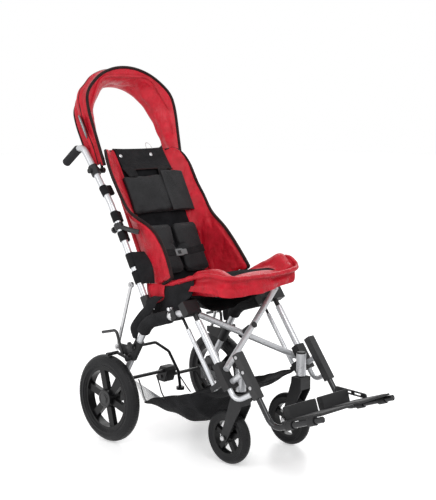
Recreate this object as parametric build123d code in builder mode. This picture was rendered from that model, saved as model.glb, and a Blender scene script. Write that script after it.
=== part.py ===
"""Folding stroller for a child with special needs.

Two side frames are joined by a crossed pair of tubes at the front and by two sliding bars at the rear.
The seat, back, basket and canopy are soft and hang between the side frames. Lengths are millimetres.
The front of the stroller looks along -Y, and places along it are given ahead of the rear axle.
Paired pieces are built on the left, at +X, and mirrored to the right.
"""

import os
from math import cos, radians, sin, sqrt

from build123d import *

os.makedirs("parts", exist_ok=True)

# Clearances
running_gap = 0.06
seat_gap = 0.3
pivot_gap = 0.4

# Rear wheels
wheel_radius = 145.0
tyre_width = 44.0
tyre_depth = 39.0
tyre_crown = 19.0
rim_radius = wheel_radius - tyre_depth
rim_wall = 11.0
rim_width = 30.0
wheel_half_track = 255.0
wheel_hub_radius = 30.0
wheel_hub_inner = 24.0
wheel_hub_outer = 18.0
spoke_count = 6
spoke_width = 24.0
spoke_depth = 16.0
axle_radius = 6.0
axle_head_radius = 13.0
axle_head_depth = 5.0

# Casters
caster_radius = 86.0
caster_width = 34.0
caster_rim_radius = 60.0
caster_rim_wall = 8.0
caster_rim_width = 24.0
caster_hub_radius = 17.0
caster_hub_half = 19.4
caster_spoke_count = 5
caster_spoke_width = 15.0
caster_x = 140.0
caster_trail = 50.0
swivel_ahead = 497.0
fork_gap = 20.0
fork_plate = 4.0
fork_crown_low = 196.0
fork_crown_depth = 40.0
caster_axle_radius = 5.0
stem_radius = 8.0
housing_radius = 16.0
housing_low = 240.0
housing_high = 312.0

# Front legs and crossed tubes, measured along the leg and square to it
leg_angle = 36.0
hub_ahead = 457.0
hub_height = 304.0
leg_x = 185.0
leg_radius = 11.0
leg_rod_radius = 8.0
leg_low = -40.0
leg_high = 172.0
strut_back = 56.0
strut_radius = 7.0
strut_rod_radius = 4.6
cross_half_width = 177.0
cross_rise = 222.7
cross_radius = 10.0
cross_offset = 24.0
cross_pin_radius = 6.0
cross_cap = 11.0
hub_half_depth = 13.6
sleeve_low = 196.0
sleeve_high = 240.0
arm_low = -62.0
arm_high = -30.0
lug_length = 16.0

# Side frame
tube_wall = 2.0
rail_x = 208.0
rail_radius = 11.0
rail_foot = (-10.7, 160.0)
rail_corner = (148.0, 414.0)
rail_end_ahead = 330.0
rail_slope = 0.324
rail_bend = 80.0
rail_cover_radius = 21.0
rail_cover_low = 0.86
rail_cover_end = 252.0
push_x = 200.0
push_radius = 11.0
push_foot = (137.0, 464.0)
push_bend_point = (-45.0, 785.0)
push_top = (-195.0, 974.0)
push_end = (-286.0, 910.0)
push_bend_radius = 160.0
push_top_radius = 32.0
grip_radius = 15.0
grip_length = 88.0
grip_rounding = 4.0
stay_radius = 6.0
stay_eye_radius = 10.0
stay_eye_half = 4.5
stay_bolt_radius = 5.0
stay_high = (75.0, 528.0)
bar_radius = 6.0
left_bar_height = 174.0
right_bar_height = 198.0
bar_past_centre = 26.0
carrier_width = 34.0
carrier_outline = ((-24, 128), (14, 128), (22, 150), (34, 206), (4, 214), (-26, 168))
lock_half_width = 22.0
lock_outline = ((-22, 160), (14, 158), (30, 200), (28, 212), (-6, 212), (-22, 186))

# Brakes
brake_rise = 140.0
brake_pivot = (70.0, wheel_radius + brake_rise)
brake_pin_radius = 5.0
brake_rod_radius = 5.0
brake_eye_half = 5.8
collar_wall = 5.0
collar_base = brake_pivot[1] - 1.0
collar_top = brake_pivot[1] + 59.0
bracket_plate = 7.0
bracket_outline = ((18, 19), (0, -9), (-14, -7), (-76, 18), (-76, 36), (-58, 37), (22, 37))
shoe_radius = 6.0
shoe_ahead = 15.0
shoe_gap = 1.0
pedal_rise = 90.0
pedal_reach = 114.0

stay_low = (brake_pivot[0] - 67.0, brake_pivot[1] + 27.0)

# Release lever
release_pivot = (96.0, brake_pivot[1] + 43.0)
release_radius = 5.0
release_pad_radius = 14.0
release_pad = (88.0, 150.0)

# Footrest
foot_x = 165.0
foot_out = 74.0
foot_radius = 9.0
channel_high = 18.0
channel_length = 152.0
channel_width = 26.0
channel_depth = 24.0
foot_top = -60.0
foot_corner = -233.0
foot_pitch = 20.0
foot_bend = 48.0
foot_run = 200.0
plate_start = 34.0
plate_end = 196.0
plate_inner = 11.0
plate_lift = 10.2
plate_thickness = 5.5
heel_inner = 14.0
heel_outer = 28.0
heel_taper = 4.0
heel_height = 40.0
heel_depth = 22.0
heel_rounding = 5.0
brace_inset = 22.0
brace_height = 66.0
brace_start = 4.0
brace_end = 118.0
brace_width = 15.0
brace_thickness = 5.0

# Soft goods
back_low = (104.0, 505.0)
back_high = (-133.0, 964.0)
back_half_width = 151.2
back_thickness = 26.0
back_set = -20.0
wing_root = (159.7, -9.0)
wing_thickness = 15.0
wing_draw = 0.62
wrap_half = 136.0
wrap_low = 258.0
wrap_height = 148.0
wrap_front = 32.0
wrap_bulge = 9.0
wrap_folds = 5
belt_rear = back_set + back_thickness + 0.9
belt_middle = 61.0
belt_width = 104.0
belt_height = 170.0
belt_up = 130.0
belt_thickness = 22.0
seat_roll_share = 0.7
sling_thickness = 5.0
sling_half = 158.0
sling_rear = 140.0
sling_flap_end = 246.0
sling_front = 330.0
basket_wall = 4.0
basket_tie_x = (60.0, 140.0)
bow_half = 166.1
bow_radius = 4.5
canopy_drop = 84.0
canopy_hinge_height = push_top[1] - canopy_drop
canopy_pin_radius = 5.0
canopy_wall = 7.0
canopy_low = canopy_hinge_height + 16.0
bow_lean = 12.5
bow_spread = 18.0
bow_side_height = 200.0
bow_top_half = 112.0
bow_top = 326.0
bow_bend = 70.0

# Derived places
foot_cos = cos(radians(foot_pitch))
foot_sin = sin(radians(foot_pitch))
leg_sin = sin(radians(leg_angle))
leg_cos = cos(radians(leg_angle))
corner_ahead = hub_ahead - leg_sin * foot_corner + leg_cos * foot_out
front_reach = corner_ahead + plate_end * foot_cos - plate_lift * foot_sin
grip_run = Vector(push_end[0] - push_top[0], push_end[1] - push_top[1], 0).normalized()
rear_reach = (
    -push_end[0]
    + grip_rounding * (1 + grip_run.X)
    - (grip_radius - grip_rounding) * grip_run.Y
)
axle_y = (front_reach - rear_reach) / 2


def at(x, ahead, height):
    """A point given by its distance ahead of the rear axle."""
    return Vector(x, axle_y - ahead, height)


leg_up = Vector(0, leg_sin, leg_cos)
leg_out = Vector(0, -leg_cos, leg_sin)
fold = Plane(origin=at(0, hub_ahead, hub_height), x_dir=(1, 0, 0), z_dir=leg_out)


def on_leg(x, up, out):
    """A point in the frame of the front legs: across, up along the leg, and out in front of it."""
    return fold.from_local_coords(Vector(x, up, out))


def rod(start, end, radius, mode=Mode.ADD):
    """A straight round bar inside the part being built."""
    with BuildSketch(Plane(origin=start, z_dir=end - start)) as section:
        Circle(radius)
    extrude(section.sketch, amount=(end - start).length, mode=mode)


def tube(points, radius, bends, bore=0, mode=Mode.ADD):
    """A round tube of straight runs and bends inside the part being built."""
    with BuildLine() as route:
        FilletPolyline(*points, radius=bends)
    with BuildSketch(Plane(origin=route.line @ 0, z_dir=route.line % 0)) as section:
        Circle(radius)
        if bore:
            Circle(bore, mode=Mode.SUBTRACT)
    sweep(section.sketch, path=route.line, mode=mode)


def leg_block(x_low, x_high, up_low, up_high, out_low, out_high, mode=Mode.ADD):
    """A box squared to the front leg inside the part being built."""
    with BuildSketch(fold.offset(out_low)) as section:
        with Locations(((x_low + x_high) / 2, (up_low + up_high) / 2)):
            Rectangle(x_high - x_low, up_high - up_low)
    extrude(section.sketch, amount=out_high - out_low, mode=mode)


def side_plate(x_low, x_high, corners, mode=Mode.ADD):
    """A flat plate cut to an outline seen from the side, inside the part being built."""
    with BuildSketch(Plane.YZ.offset(x_low)) as section:
        with BuildLine():
            Polyline(*[(axle_y - ahead, height) for ahead, height in corners], close=True)
        make_face()
    extrude(section.sketch, amount=x_high - x_low, mode=mode)


def keep(part, name):
    """Writes one finished piece."""
    part.label = name
    export_step(part, f"parts/{name}.step")


def keep_pair(part, name):
    """Writes a left piece and its mirror image on the right."""
    keep(part, f"left_{name}")
    keep(mirror(part, about=Plane.YZ), f"right_{name}")


# Rear wheel
wheel_plane = Plane(origin=at(wheel_half_track, 0, wheel_radius), x_dir=(1, 0, 0), z_dir=(0, -1, 0))
wheel_axis = Axis(wheel_plane.origin, (1, 0, 0))
tyre_half = tyre_width / 2
shoulder = wheel_radius - tyre_crown

with BuildPart() as rear_tyre:
    with BuildSketch(wheel_plane):
        with BuildLine():
            Polyline((-rim_width / 2, rim_radius), (-tyre_half, rim_radius + 8), (-tyre_half, shoulder))
            ThreePointArc((-tyre_half, shoulder), (0, wheel_radius), (tyre_half, shoulder))
            Polyline((tyre_half, shoulder), (tyre_half, rim_radius + 8), (rim_width / 2, rim_radius))
            Line((rim_width / 2, rim_radius), (-rim_width / 2, rim_radius))
        make_face()
    revolve(axis=wheel_axis)
keep_pair(rear_tyre.part, "rear_tyre")

with BuildPart() as rear_rim:
    with BuildSketch(wheel_plane):
        with Locations((0, rim_radius - rim_wall / 2)):
            Rectangle(rim_width, rim_wall)
        with Locations(((wheel_hub_outer - wheel_hub_inner) / 2, wheel_hub_radius / 2)):
            Rectangle(wheel_hub_inner + wheel_hub_outer, wheel_hub_radius)
    revolve(axis=wheel_axis)
    spoke_length = rim_radius - rim_wall / 2 - wheel_hub_radius / 2
    with BuildSketch(Plane(origin=wheel_plane.origin, x_dir=(0, 1, 0), z_dir=(1, 0, 0))):
        with PolarLocations(wheel_hub_radius / 2 + spoke_length / 2, spoke_count, start_angle=15):
            Rectangle(spoke_length, spoke_width)
    extrude(amount=spoke_depth / 2, both=True)
    with BuildSketch(Plane(origin=wheel_plane.origin, z_dir=(1, 0, 0))):
        Circle(axle_radius + running_gap)
    extrude(amount=wheel_half_track, both=True, mode=Mode.SUBTRACT)
keep_pair(rear_rim.part, "rear_rim")

# Side frame tubes
rail_end = (rail_end_ahead, rail_corner[1] + (rail_end_ahead - rail_corner[0]) * rail_slope)
rail_route = [at(rail_x, *rail_foot), at(rail_x, *rail_corner), at(rail_x, *rail_end)]
push_route = [
    at(push_x, *push_foot),
    at(push_x, *push_bend_point),
    at(push_x, *push_top),
    at(push_x, *push_end),
]
push_bends = [push_bend_radius, push_top_radius]

with BuildPart() as rear_leg:
    tube(rail_route, rail_radius, rail_bend, rail_radius - tube_wall)
keep_pair(rear_leg.part, "rear_leg")

cover_start = rail_route[0] + (rail_route[1] - rail_route[0]) * rail_cover_low
cover_end = at(rail_x, rail_cover_end, rail_corner[1] + (rail_cover_end - rail_corner[0]) * rail_slope)
with BuildPart() as rail_cover:
    tube([cover_start, rail_route[1], cover_end], rail_cover_radius, rail_bend, rail_radius)
keep_pair(rail_cover.part, "rail_cover")

with BuildPart() as push_tube:
    tube(push_route, push_radius, push_bends, push_radius - tube_wall)
keep_pair(push_tube.part, "push_tube")

grip_dir = (push_route[3] - push_route[2]).normalized()
grip_tip = push_route[3]
with BuildPart() as grip:
    rod(grip_tip - grip_dir * grip_length, grip_tip, grip_radius)
    fillet(grip.edges().filter_by(GeomType.CIRCLE), grip_rounding)
    tube(push_route, push_radius, push_bends, mode=Mode.SUBTRACT)
keep_pair(grip.part, "grip")


def leg_at(height):
    """The distance ahead of the axle of the rear leg at a height."""
    share = (height - rail_foot[1]) / (rail_corner[1] - rail_foot[1])
    return rail_foot[0] + (rail_corner[0] - rail_foot[0]) * share


def push_at(height):
    """The distance ahead of the axle of the push tube at a height."""
    low, high = (push_foot, push_bend_point) if height < push_bend_point[1] else (push_bend_point, push_top)
    return low[0] + (high[0] - low[0]) * (height - low[1]) / (high[1] - low[1])


# Rear stay, with an eye at each end
stay_x = push_x + push_radius + seat_gap + stay_radius
with BuildPart() as rear_stay:
    rod(at(stay_x, *stay_high), at(stay_x, *stay_low), stay_radius)
    for end in (stay_high, stay_low):
        rod(at(stay_x - stay_eye_half, *end), at(stay_x + stay_eye_half, *end), stay_eye_radius)
        rod(at(stay_x, *end), at(stay_x + stay_radius + 4, *end), stay_bolt_radius)
keep_pair(rear_stay.part, "rear_stay")

# Foot of the push tube on the rail, and the brake bracket on the rear leg
push_down = (push_route[0] - push_route[1]).normalized()
bracket_inner = rail_x - rail_radius - 5
bracket_outer = stay_x - stay_radius - seat_gap
brake_pin_end = rail_x + rail_radius + collar_wall + 2 * (brake_eye_half + pivot_gap)
with BuildPart() as frame_brackets:
    rod(push_route[0] - push_down * 34, push_route[0] + push_down * 40, push_radius + 4)
    tube(push_route, push_radius, push_bends, mode=Mode.SUBTRACT)
    rod(cover_start, rail_route[1], rail_cover_radius, mode=Mode.SUBTRACT)
    tube([cover_start, rail_route[1], cover_end], rail_cover_radius, rail_bend, mode=Mode.SUBTRACT)
    collar_low = at(rail_x, leg_at(collar_base), collar_base)
    collar_high = at(rail_x, leg_at(collar_top), collar_top)
    rod(collar_low, collar_high, rail_radius + collar_wall)
    side_plate(
        bracket_outer - bracket_plate,
        bracket_outer,
        [(brake_pivot[0] + ahead, brake_pivot[1] + up) for ahead, up in bracket_outline],
    )
    rod(at(bracket_outer - bracket_plate, *brake_pivot), at(bracket_outer, *brake_pivot), brake_pin_radius + 6)
    rod(at(bracket_outer, *brake_pivot), at(brake_pin_end, *brake_pivot), brake_pin_radius)
    tube(rail_route, rail_radius, rail_bend, mode=Mode.SUBTRACT)
keep_pair(frame_brackets.part, "frame_brackets")

# Brake lever: eye, arm, shoe over the tyre and pedal
brake_x = rail_x + rail_radius + collar_wall + pivot_gap + brake_eye_half
shoe_height = wheel_radius + sqrt((wheel_radius + shoe_gap + shoe_radius) ** 2 - shoe_ahead**2)
lever_x = brake_x + 4
with BuildPart() as brake_lever:
    rod(
        at(brake_x - brake_eye_half, *brake_pivot),
        at(brake_x + brake_eye_half, *brake_pivot),
        brake_pin_radius + 5,
    )
    rod(at(brake_x, *brake_pivot), at(brake_x, shoe_ahead, shoe_height), brake_rod_radius)
    rod(
        at(brake_x - 4, shoe_ahead, shoe_height),
        at(wheel_half_track + tyre_half - 4, shoe_ahead, shoe_height),
        shoe_radius,
    )
    tube(
        [
            at(brake_x, brake_pivot[0] - 26, brake_pivot[1] + 7),
            at(lever_x + 8, brake_pivot[0] - 43, brake_pivot[1] + pedal_rise),
            at(lever_x + 8, brake_pivot[0] - pedal_reach, brake_pivot[1] + pedal_rise - 17),
        ],
        brake_rod_radius,
        12,
    )
    rod(
        at(brake_x - 9, *brake_pivot),
        at(brake_x + 20, *brake_pivot),
        brake_pin_radius + running_gap,
        mode=Mode.SUBTRACT,
    )
keep_pair(brake_lever.part, "brake_lever")

# Axle carrier with its sliding bar, one height on each side
carrier_inner = rail_x - carrier_width / 2


def axle_carrier(bar_height):
    """The block on the foot of the rear leg, its wheel axle and its bar towards the other side."""
    bar_ahead = leg_at(bar_height)
    hub_face = wheel_half_track + wheel_hub_outer + pivot_gap
    with BuildPart() as carrier:
        side_plate(carrier_inner, carrier_inner + carrier_width, carrier_outline)
        tube(rail_route, rail_radius, rail_bend, mode=Mode.SUBTRACT)
        rod(at(carrier_inner, 0, wheel_radius), at(hub_face + axle_head_depth, 0, wheel_radius), axle_radius)
        rod(
            at(hub_face, 0, wheel_radius),
            at(hub_face + axle_head_depth, 0, wheel_radius),
            axle_head_radius,
        )
        rod(at(carrier_inner, bar_ahead, bar_height), at(-bar_past_centre, bar_ahead, bar_height), bar_radius)
    return carrier.part


keep(axle_carrier(left_bar_height), "left_rear_axle")
keep(mirror(axle_carrier(right_bar_height), about=Plane.YZ), "right_rear_axle")

# Lock plate between the two bars
with BuildPart() as lock_plate:
    left_bar = (leg_at(left_bar_height), left_bar_height)
    right_bar = (leg_at(right_bar_height), right_bar_height)
    side_plate(-lock_half_width, lock_half_width, lock_outline)
    for bar in (left_bar, right_bar):
        rod(at(-40, *bar), at(40, *bar), bar_radius + running_gap, mode=Mode.SUBTRACT)
keep(lock_plate.part, "lock_plate")

# Canopy clamp on the push tube, with the pin that the canopy turns on
clamp_centre = at(push_x, push_at(canopy_hinge_height), canopy_hinge_height)
clamp_dir = (push_route[2] - push_route[1]).normalized()
with BuildPart() as canopy_clamp:
    rod(clamp_centre - clamp_dir * 18, clamp_centre + clamp_dir * 18, push_radius + 5)
    rod(clamp_centre, clamp_centre - Vector(14, 0, 0), 12)
    rod(clamp_centre, clamp_centre - Vector(push_x - bow_half + 8, 0, 0), canopy_pin_radius)
    rod(clamp_centre, clamp_centre + Vector(24, 0, 0), 9)
    tube(push_route, push_radius, push_bends, mode=Mode.SUBTRACT)
keep_pair(canopy_clamp.part, "canopy_clamp")

# Bands that tie the back to the push tube
band_places = ((824, 178.0), (742, 178.0), (680, 168.2), (604, 168.2), (552, 168.4))
band_half = 17
with BuildPart() as back_straps:
    for height, reach in band_places:
        centre = at(push_x, push_at(height), height)
        along = clamp_dir if height > push_bend_point[1] else -push_down
        rod(centre - along * band_half, centre + along * band_half, push_radius + 2.5)
        with BuildSketch(Plane(origin=centre, x_dir=(1, 0, 0), z_dir=along).offset(-band_half)):
            with Locations(((reach - push_x) / 2, 0)):
                Rectangle(push_x - reach, 4)
        extrude(amount=2 * band_half)
    tube(push_route, push_radius, push_bends, mode=Mode.SUBTRACT)
keep_pair(back_straps.part, "back_straps")

# Front leg and its strut slide on rods that hang from the seat rail
with BuildPart() as front_leg:
    for out, radius, bore, high in (
        (0, leg_radius, leg_rod_radius, leg_high),
        (-strut_back, strut_radius, strut_rod_radius, leg_high),
    ):
        rod(on_leg(leg_x, leg_low, out), on_leg(leg_x, high, out), radius)
        rod(on_leg(leg_x, leg_low, out), on_leg(leg_x, high, out), bore + running_gap, mode=Mode.SUBTRACT)
keep_pair(front_leg.part, "front_leg")

strut_foot = Vector(hub_ahead - strut_back * leg_cos, hub_height - strut_back * leg_sin, 0)
strut_top = (rail_corner[1] - strut_foot.Y + (strut_foot.X - rail_corner[0]) * rail_slope) / (
    leg_cos + leg_sin * rail_slope
)
with BuildPart() as leg_sleeve:
    leg_block(leg_x - 20, rail_x + 15, sleeve_low, sleeve_high, -hub_half_depth, hub_half_depth)
    rod(on_leg(leg_x, sleeve_low, 0), on_leg(leg_x, 0, 0), leg_rod_radius)
    leg_block(leg_x - 10, rail_x + 14, strut_top - 16, strut_top + 16, -strut_back - 13, -strut_back + 13)
    rod(on_leg(leg_x, strut_top, -strut_back), on_leg(leg_x, 0, -strut_back), strut_rod_radius)
    tube(rail_route, rail_radius, rail_bend, mode=Mode.SUBTRACT)
keep_pair(leg_sleeve.part, "leg_sleeve")

# Front hub: clamps the leg and the strut, and carries the caster housing and the footrest
swivel_low = at(caster_x, swivel_ahead, housing_low)
swivel_high = at(caster_x, swivel_ahead, housing_high)
with BuildPart() as front_hub:
    leg_block(leg_x - 20, leg_x + 15, arm_low, 24, -hub_half_depth, hub_half_depth)
    leg_block(caster_x - 10, leg_x, arm_low, arm_high, -hub_half_depth, hub_half_depth)
    leg_block(
        leg_x - 10,
        leg_x + 10,
        leg_low,
        leg_low + lug_length,
        -strut_back - strut_radius - 4,
        -hub_half_depth,
    )
    rod(swivel_low, swivel_high, housing_radius, mode=Mode.SUBTRACT)
    rod(on_leg(leg_x, leg_low, 0), on_leg(leg_x, leg_high, 0), leg_radius, mode=Mode.SUBTRACT)
    rod(
        on_leg(leg_x, leg_low, -strut_back),
        on_leg(leg_x, leg_high, -strut_back),
        strut_radius,
        mode=Mode.SUBTRACT,
    )
keep_pair(front_hub.part, "front_hub")

# Caster housing, with the spacer and the bent hanger that hold the footrest channel
channel_face = foot_out - channel_depth / 2
with BuildPart() as caster_housing:
    rod(swivel_low, swivel_high, housing_radius)
    rod(swivel_low, swivel_high - Vector(0, 0, 4), stem_radius + running_gap, mode=Mode.SUBTRACT)
    rod(on_leg(leg_x - 10, -45, hub_half_depth), on_leg(leg_x - 10, -45, channel_face), 9)
    tube(
        [on_leg(leg_x, arm_low, 0), on_leg(leg_x, -104, 0), on_leg(leg_x - 12, -112, channel_face)],
        8,
        30,
    )
    leg_block(leg_x - 40, leg_x + 40, -150, -80, channel_face, channel_face + 30, mode=Mode.SUBTRACT)
keep_pair(caster_housing.part, "caster_housing")

# Caster fork, with its stem and axle
caster_ahead = swivel_ahead - caster_trail
with BuildPart() as caster_fork:
    crown_half = fork_gap + fork_plate
    side_plate(
        caster_x - crown_half,
        caster_x + crown_half,
        [
            (swivel_ahead + 20, fork_crown_low),
            (swivel_ahead + 20, fork_crown_low + fork_crown_depth),
            (swivel_ahead - 20, fork_crown_low + fork_crown_depth),
            (swivel_ahead - 24, fork_crown_low),
        ],
    )
    for inner in (caster_x - crown_half, caster_x + fork_gap):
        side_plate(
            inner,
            inner + fork_plate,
            [
                (swivel_ahead + 20, fork_crown_low + 20),
                (swivel_ahead - 22, fork_crown_low + 20),
                (caster_ahead - 13, caster_radius + 4),
                (caster_ahead - 8, caster_radius - 11),
                (caster_ahead + 8, caster_radius - 11),
                (caster_ahead + 16, caster_radius + 2),
                (swivel_ahead + 20, fork_crown_low - 4),
            ],
        )
    rod(
        at(caster_x, swivel_ahead, fork_crown_low + fork_crown_depth),
        at(caster_x, swivel_ahead, housing_high - 8),
        stem_radius,
    )
    rod(
        at(caster_x - crown_half - 4, caster_ahead, caster_radius),
        at(caster_x + crown_half + 4, caster_ahead, caster_radius),
        caster_axle_radius,
    )
keep_pair(caster_fork.part, "caster_fork")

# Caster wheel
caster_plane = Plane(
    origin=at(caster_x, caster_ahead, caster_radius), x_dir=(1, 0, 0), z_dir=(0, -1, 0)
)
caster_axis = Axis(caster_plane.origin, (1, 0, 0))
caster_half = caster_width / 2
caster_shoulder = caster_radius - 12
with BuildPart() as caster_tyre:
    with BuildSketch(caster_plane):
        with BuildLine():
            Polyline((-caster_rim_width / 2, caster_rim_radius), (-caster_half, caster_shoulder))
            ThreePointArc((-caster_half, caster_shoulder), (0, caster_radius), (caster_half, caster_shoulder))
            Polyline((caster_half, caster_shoulder), (caster_rim_width / 2, caster_rim_radius))
            Line((caster_rim_width / 2, caster_rim_radius), (-caster_rim_width / 2, caster_rim_radius))
        make_face()
    revolve(axis=caster_axis)
keep_pair(caster_tyre.part, "caster_tyre")

with BuildPart() as caster_rim:
    with BuildSketch(caster_plane):
        with Locations((0, caster_rim_radius - caster_rim_wall / 2)):
            Rectangle(caster_rim_width, caster_rim_wall)
        with Locations((0, caster_hub_radius / 2)):
            Rectangle(2 * caster_hub_half, caster_hub_radius)
    revolve(axis=caster_axis)
    caster_spoke = caster_rim_radius - caster_rim_wall / 2 - caster_hub_radius / 2
    with BuildSketch(Plane(origin=caster_plane.origin, x_dir=(0, 1, 0), z_dir=(1, 0, 0))):
        with PolarLocations(caster_hub_radius / 2 + caster_spoke / 2, caster_spoke_count, start_angle=20):
            Rectangle(caster_spoke, caster_spoke_width)
    extrude(amount=caster_rim_width / 2 - 4, both=True)
    with BuildSketch(Plane(origin=caster_plane.origin, z_dir=(1, 0, 0))):
        Circle(caster_axle_radius + running_gap)
    extrude(amount=caster_x, both=True, mode=Mode.SUBTRACT)
keep_pair(caster_rim.part, "caster_rim")

# Footrest channel, sliding tube and half plate
with BuildPart() as foot_channel:
    channel_low = channel_high - channel_length
    leg_block(
        foot_x - channel_width / 2,
        foot_x + channel_width / 2,
        channel_low,
        channel_high,
        channel_face,
        channel_face + channel_depth,
    )
    rod(
        on_leg(foot_x, channel_low, foot_out),
        on_leg(foot_x, channel_high - 4, foot_out),
        foot_radius + running_gap,
        mode=Mode.SUBTRACT,
    )
keep_pair(foot_channel.part, "foot_channel")

foot_bend_point = on_leg(foot_x, foot_corner, foot_out)
foot_forward = Vector(0, -foot_cos, foot_sin)
foot_normal = Vector(0, foot_sin, foot_cos)
with BuildPart() as foot_tube:
    tube(
        [on_leg(foot_x, foot_top, foot_out), foot_bend_point, foot_bend_point + foot_forward * foot_run],
        foot_radius,
        foot_bend,
    )
keep_pair(foot_tube.part, "foot_tube")

plate_plane = Plane(origin=foot_bend_point, x_dir=(-1, 0, 0), z_dir=foot_normal)
plate_reach = foot_x - plate_inner
heel_reach = foot_x - heel_inner
heel_origin = foot_bend_point + foot_forward * plate_start
heel_low = plate_lift + plate_thickness / 2
heel_top = plate_lift + plate_thickness + heel_height
barrel_starts = (plate_start + 24, plate_end - 50)
with BuildPart() as foot_plate:
    with BuildSketch(plate_plane.offset(plate_lift)):
        with Locations((plate_reach / 2, (plate_start + plate_end) / 2)):
            RectangleRounded(plate_reach, plate_end - plate_start, 9)
    extrude(amount=plate_thickness)
    for start in barrel_starts:
        rod(
            foot_bend_point + foot_forward * start,
            foot_bend_point + foot_forward * (start + 26),
            foot_radius + 4,
        )
    with BuildSketch(Plane(origin=heel_origin, x_dir=(1, 0, 0), z_dir=foot_forward)):
        with BuildLine():
            FilletPolyline(
                (-heel_outer, heel_low),
                (-heel_outer + heel_taper, heel_top),
                (-heel_reach, heel_top),
                (-heel_reach, heel_low),
                radius=heel_rounding,
            )
            Line((-heel_reach, heel_low), (-heel_outer, heel_low))
        make_face()
    extrude(amount=heel_depth)
    rod(
        foot_bend_point,
        foot_bend_point + foot_forward * foot_run,
        foot_radius + 0.3,
        mode=Mode.SUBTRACT,
    )
keep_pair(foot_plate.part, "foot_plate")

# Slotted stay of the left half plate, leaning on the foot tube
with BuildPart() as foot_brace:
    brace_centre = foot_bend_point - Vector(brace_inset, 0, 0)
    brace_high = brace_centre + foot_forward * brace_start + foot_normal * brace_height
    brace_low = brace_centre + foot_forward * brace_end + foot_normal * (heel_low + brace_width / 2)
    brace_run = (brace_low - brace_high).length
    with BuildSketch(Plane(origin=brace_high, x_dir=brace_low - brace_high, z_dir=(1, 0, 0))):
        with Locations((brace_run / 2, 0)):
            SlotOverall(brace_run, brace_width)
        with Locations((brace_run * 0.42, 0), (brace_run * 0.72, 0)):
            SlotOverall(brace_run * 0.22, 6, mode=Mode.SUBTRACT)
    extrude(amount=brace_thickness)
    with BuildSketch(plate_plane):
        with Locations((plate_reach / 2, (plate_start + plate_end) / 2)):
            Rectangle(2 * plate_reach, 2 * plate_end)
    extrude(amount=plate_lift + plate_thickness, mode=Mode.SUBTRACT)
keep(foot_brace.part, "left_foot_brace")

# Crossed tubes and the pin they turn on
def cross_tube(side, out):
    """One crossed tube, from the hub of one side to the seat of the other, with its end bolts."""
    low = on_leg(-side * cross_half_width, 0, out)
    high = on_leg(side * cross_half_width, cross_rise, out)
    along = (high - low).normalized()
    inward = -1 if out > 0 else 1
    face = out + inward * (abs(out) - hub_half_depth - pivot_gap)
    head = out - inward * (cross_radius + 3)
    with BuildPart() as made:
        rod(low - along * cross_cap, high + along * cross_cap, cross_radius)
        for x, up in ((-side * cross_half_width, 0), (side * cross_half_width, cross_rise)):
            rod(on_leg(x, up, face), on_leg(x, up, head), 6)
        rod(
            on_leg(0, cross_rise / 2, -60),
            on_leg(0, cross_rise / 2, 60),
            cross_pin_radius + running_gap,
            mode=Mode.SUBTRACT,
        )
    return made.part


keep(cross_tube(1, cross_offset), "front_cross_tube")
keep(cross_tube(-1, -cross_offset), "rear_cross_tube")

pin_reach = cross_offset + cross_radius + pivot_gap
with BuildPart() as cross_pin:
    rod(
        on_leg(0, cross_rise / 2, -pin_reach - 4),
        on_leg(0, cross_rise / 2, pin_reach + 4),
        cross_pin_radius,
    )
    spacer_half = cross_offset - cross_radius - pivot_gap
    rod(on_leg(0, cross_rise / 2, -spacer_half), on_leg(0, cross_rise / 2, spacer_half), 12)
    for end in (-1, 1):
        rod(on_leg(0, cross_rise / 2, end * pin_reach), on_leg(0, cross_rise / 2, end * (pin_reach + 4)), 10)
keep(cross_pin.part, "cross_pin")

# Release lever: a rod turning in its collar on the right leg, bent down to a foot pad
with BuildPart() as release_lever:
    lever_start = at(-rail_x + rail_radius + collar_wall + pivot_gap, *release_pivot)
    tube(
        [
            lever_start,
            at(-132, *release_pivot),
            at(-70, release_pivot[0] - 4, 288),
            at(-34, release_pivot[0] + 4, 214),
            at(-14, *release_pad),
        ],
        release_radius,
        [20, 26, 26],
    )
    rod(
        at(-14, release_pad[0], release_pad[1] + release_radius),
        at(-14, release_pad[0], release_pad[1] - release_radius),
        release_pad_radius,
    )
keep(release_lever.part, "release_lever")

# Back pad: a crowned panel between the push tubes
back_up = (at(0, *back_high) - at(0, *back_low)).normalized()
back_front = Vector(0, -back_up.Z, back_up.Y)
back_length = (at(0, *back_high) - at(0, *back_low)).length


def back_plane(up):
    """A plane across the back at a height along it, with its second axis to the front."""
    return Plane(origin=at(0, *back_low) + back_up * up, x_dir=(1, 0, 0), z_dir=-back_up)


def crown(x, half, edge, middle):
    """The front of a crowned pad at a place across it."""
    return middle - (middle - edge) * (x / half) ** 2


with BuildPart() as back_pad:
    for up, half, edge, middle in (
        (8, back_half_width - 14, 8, 14),
        (70, back_half_width - 2, 12, back_thickness - 2),
        (250, back_half_width, 14, back_thickness),
        (430, back_half_width - 2, 13, back_thickness - 2),
        (back_length, back_half_width - 12, 8, 14),
    ):
        with BuildSketch(back_plane(up)):
            with BuildLine():
                front = back_set + edge
                side = back_set + edge / 2
                Line((-half + 5, back_set), (half - 5, back_set))
                ThreePointArc((half - 5, back_set), (half, side), (half - 4, front))
                ThreePointArc((half - 4, front), (0, back_set + middle), (-half + 4, front))
                ThreePointArc((-half + 4, front), (-half, side), (-half + 5, back_set))
            make_face()
    loft()
keep(back_pad.part, "back_pad")

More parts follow.
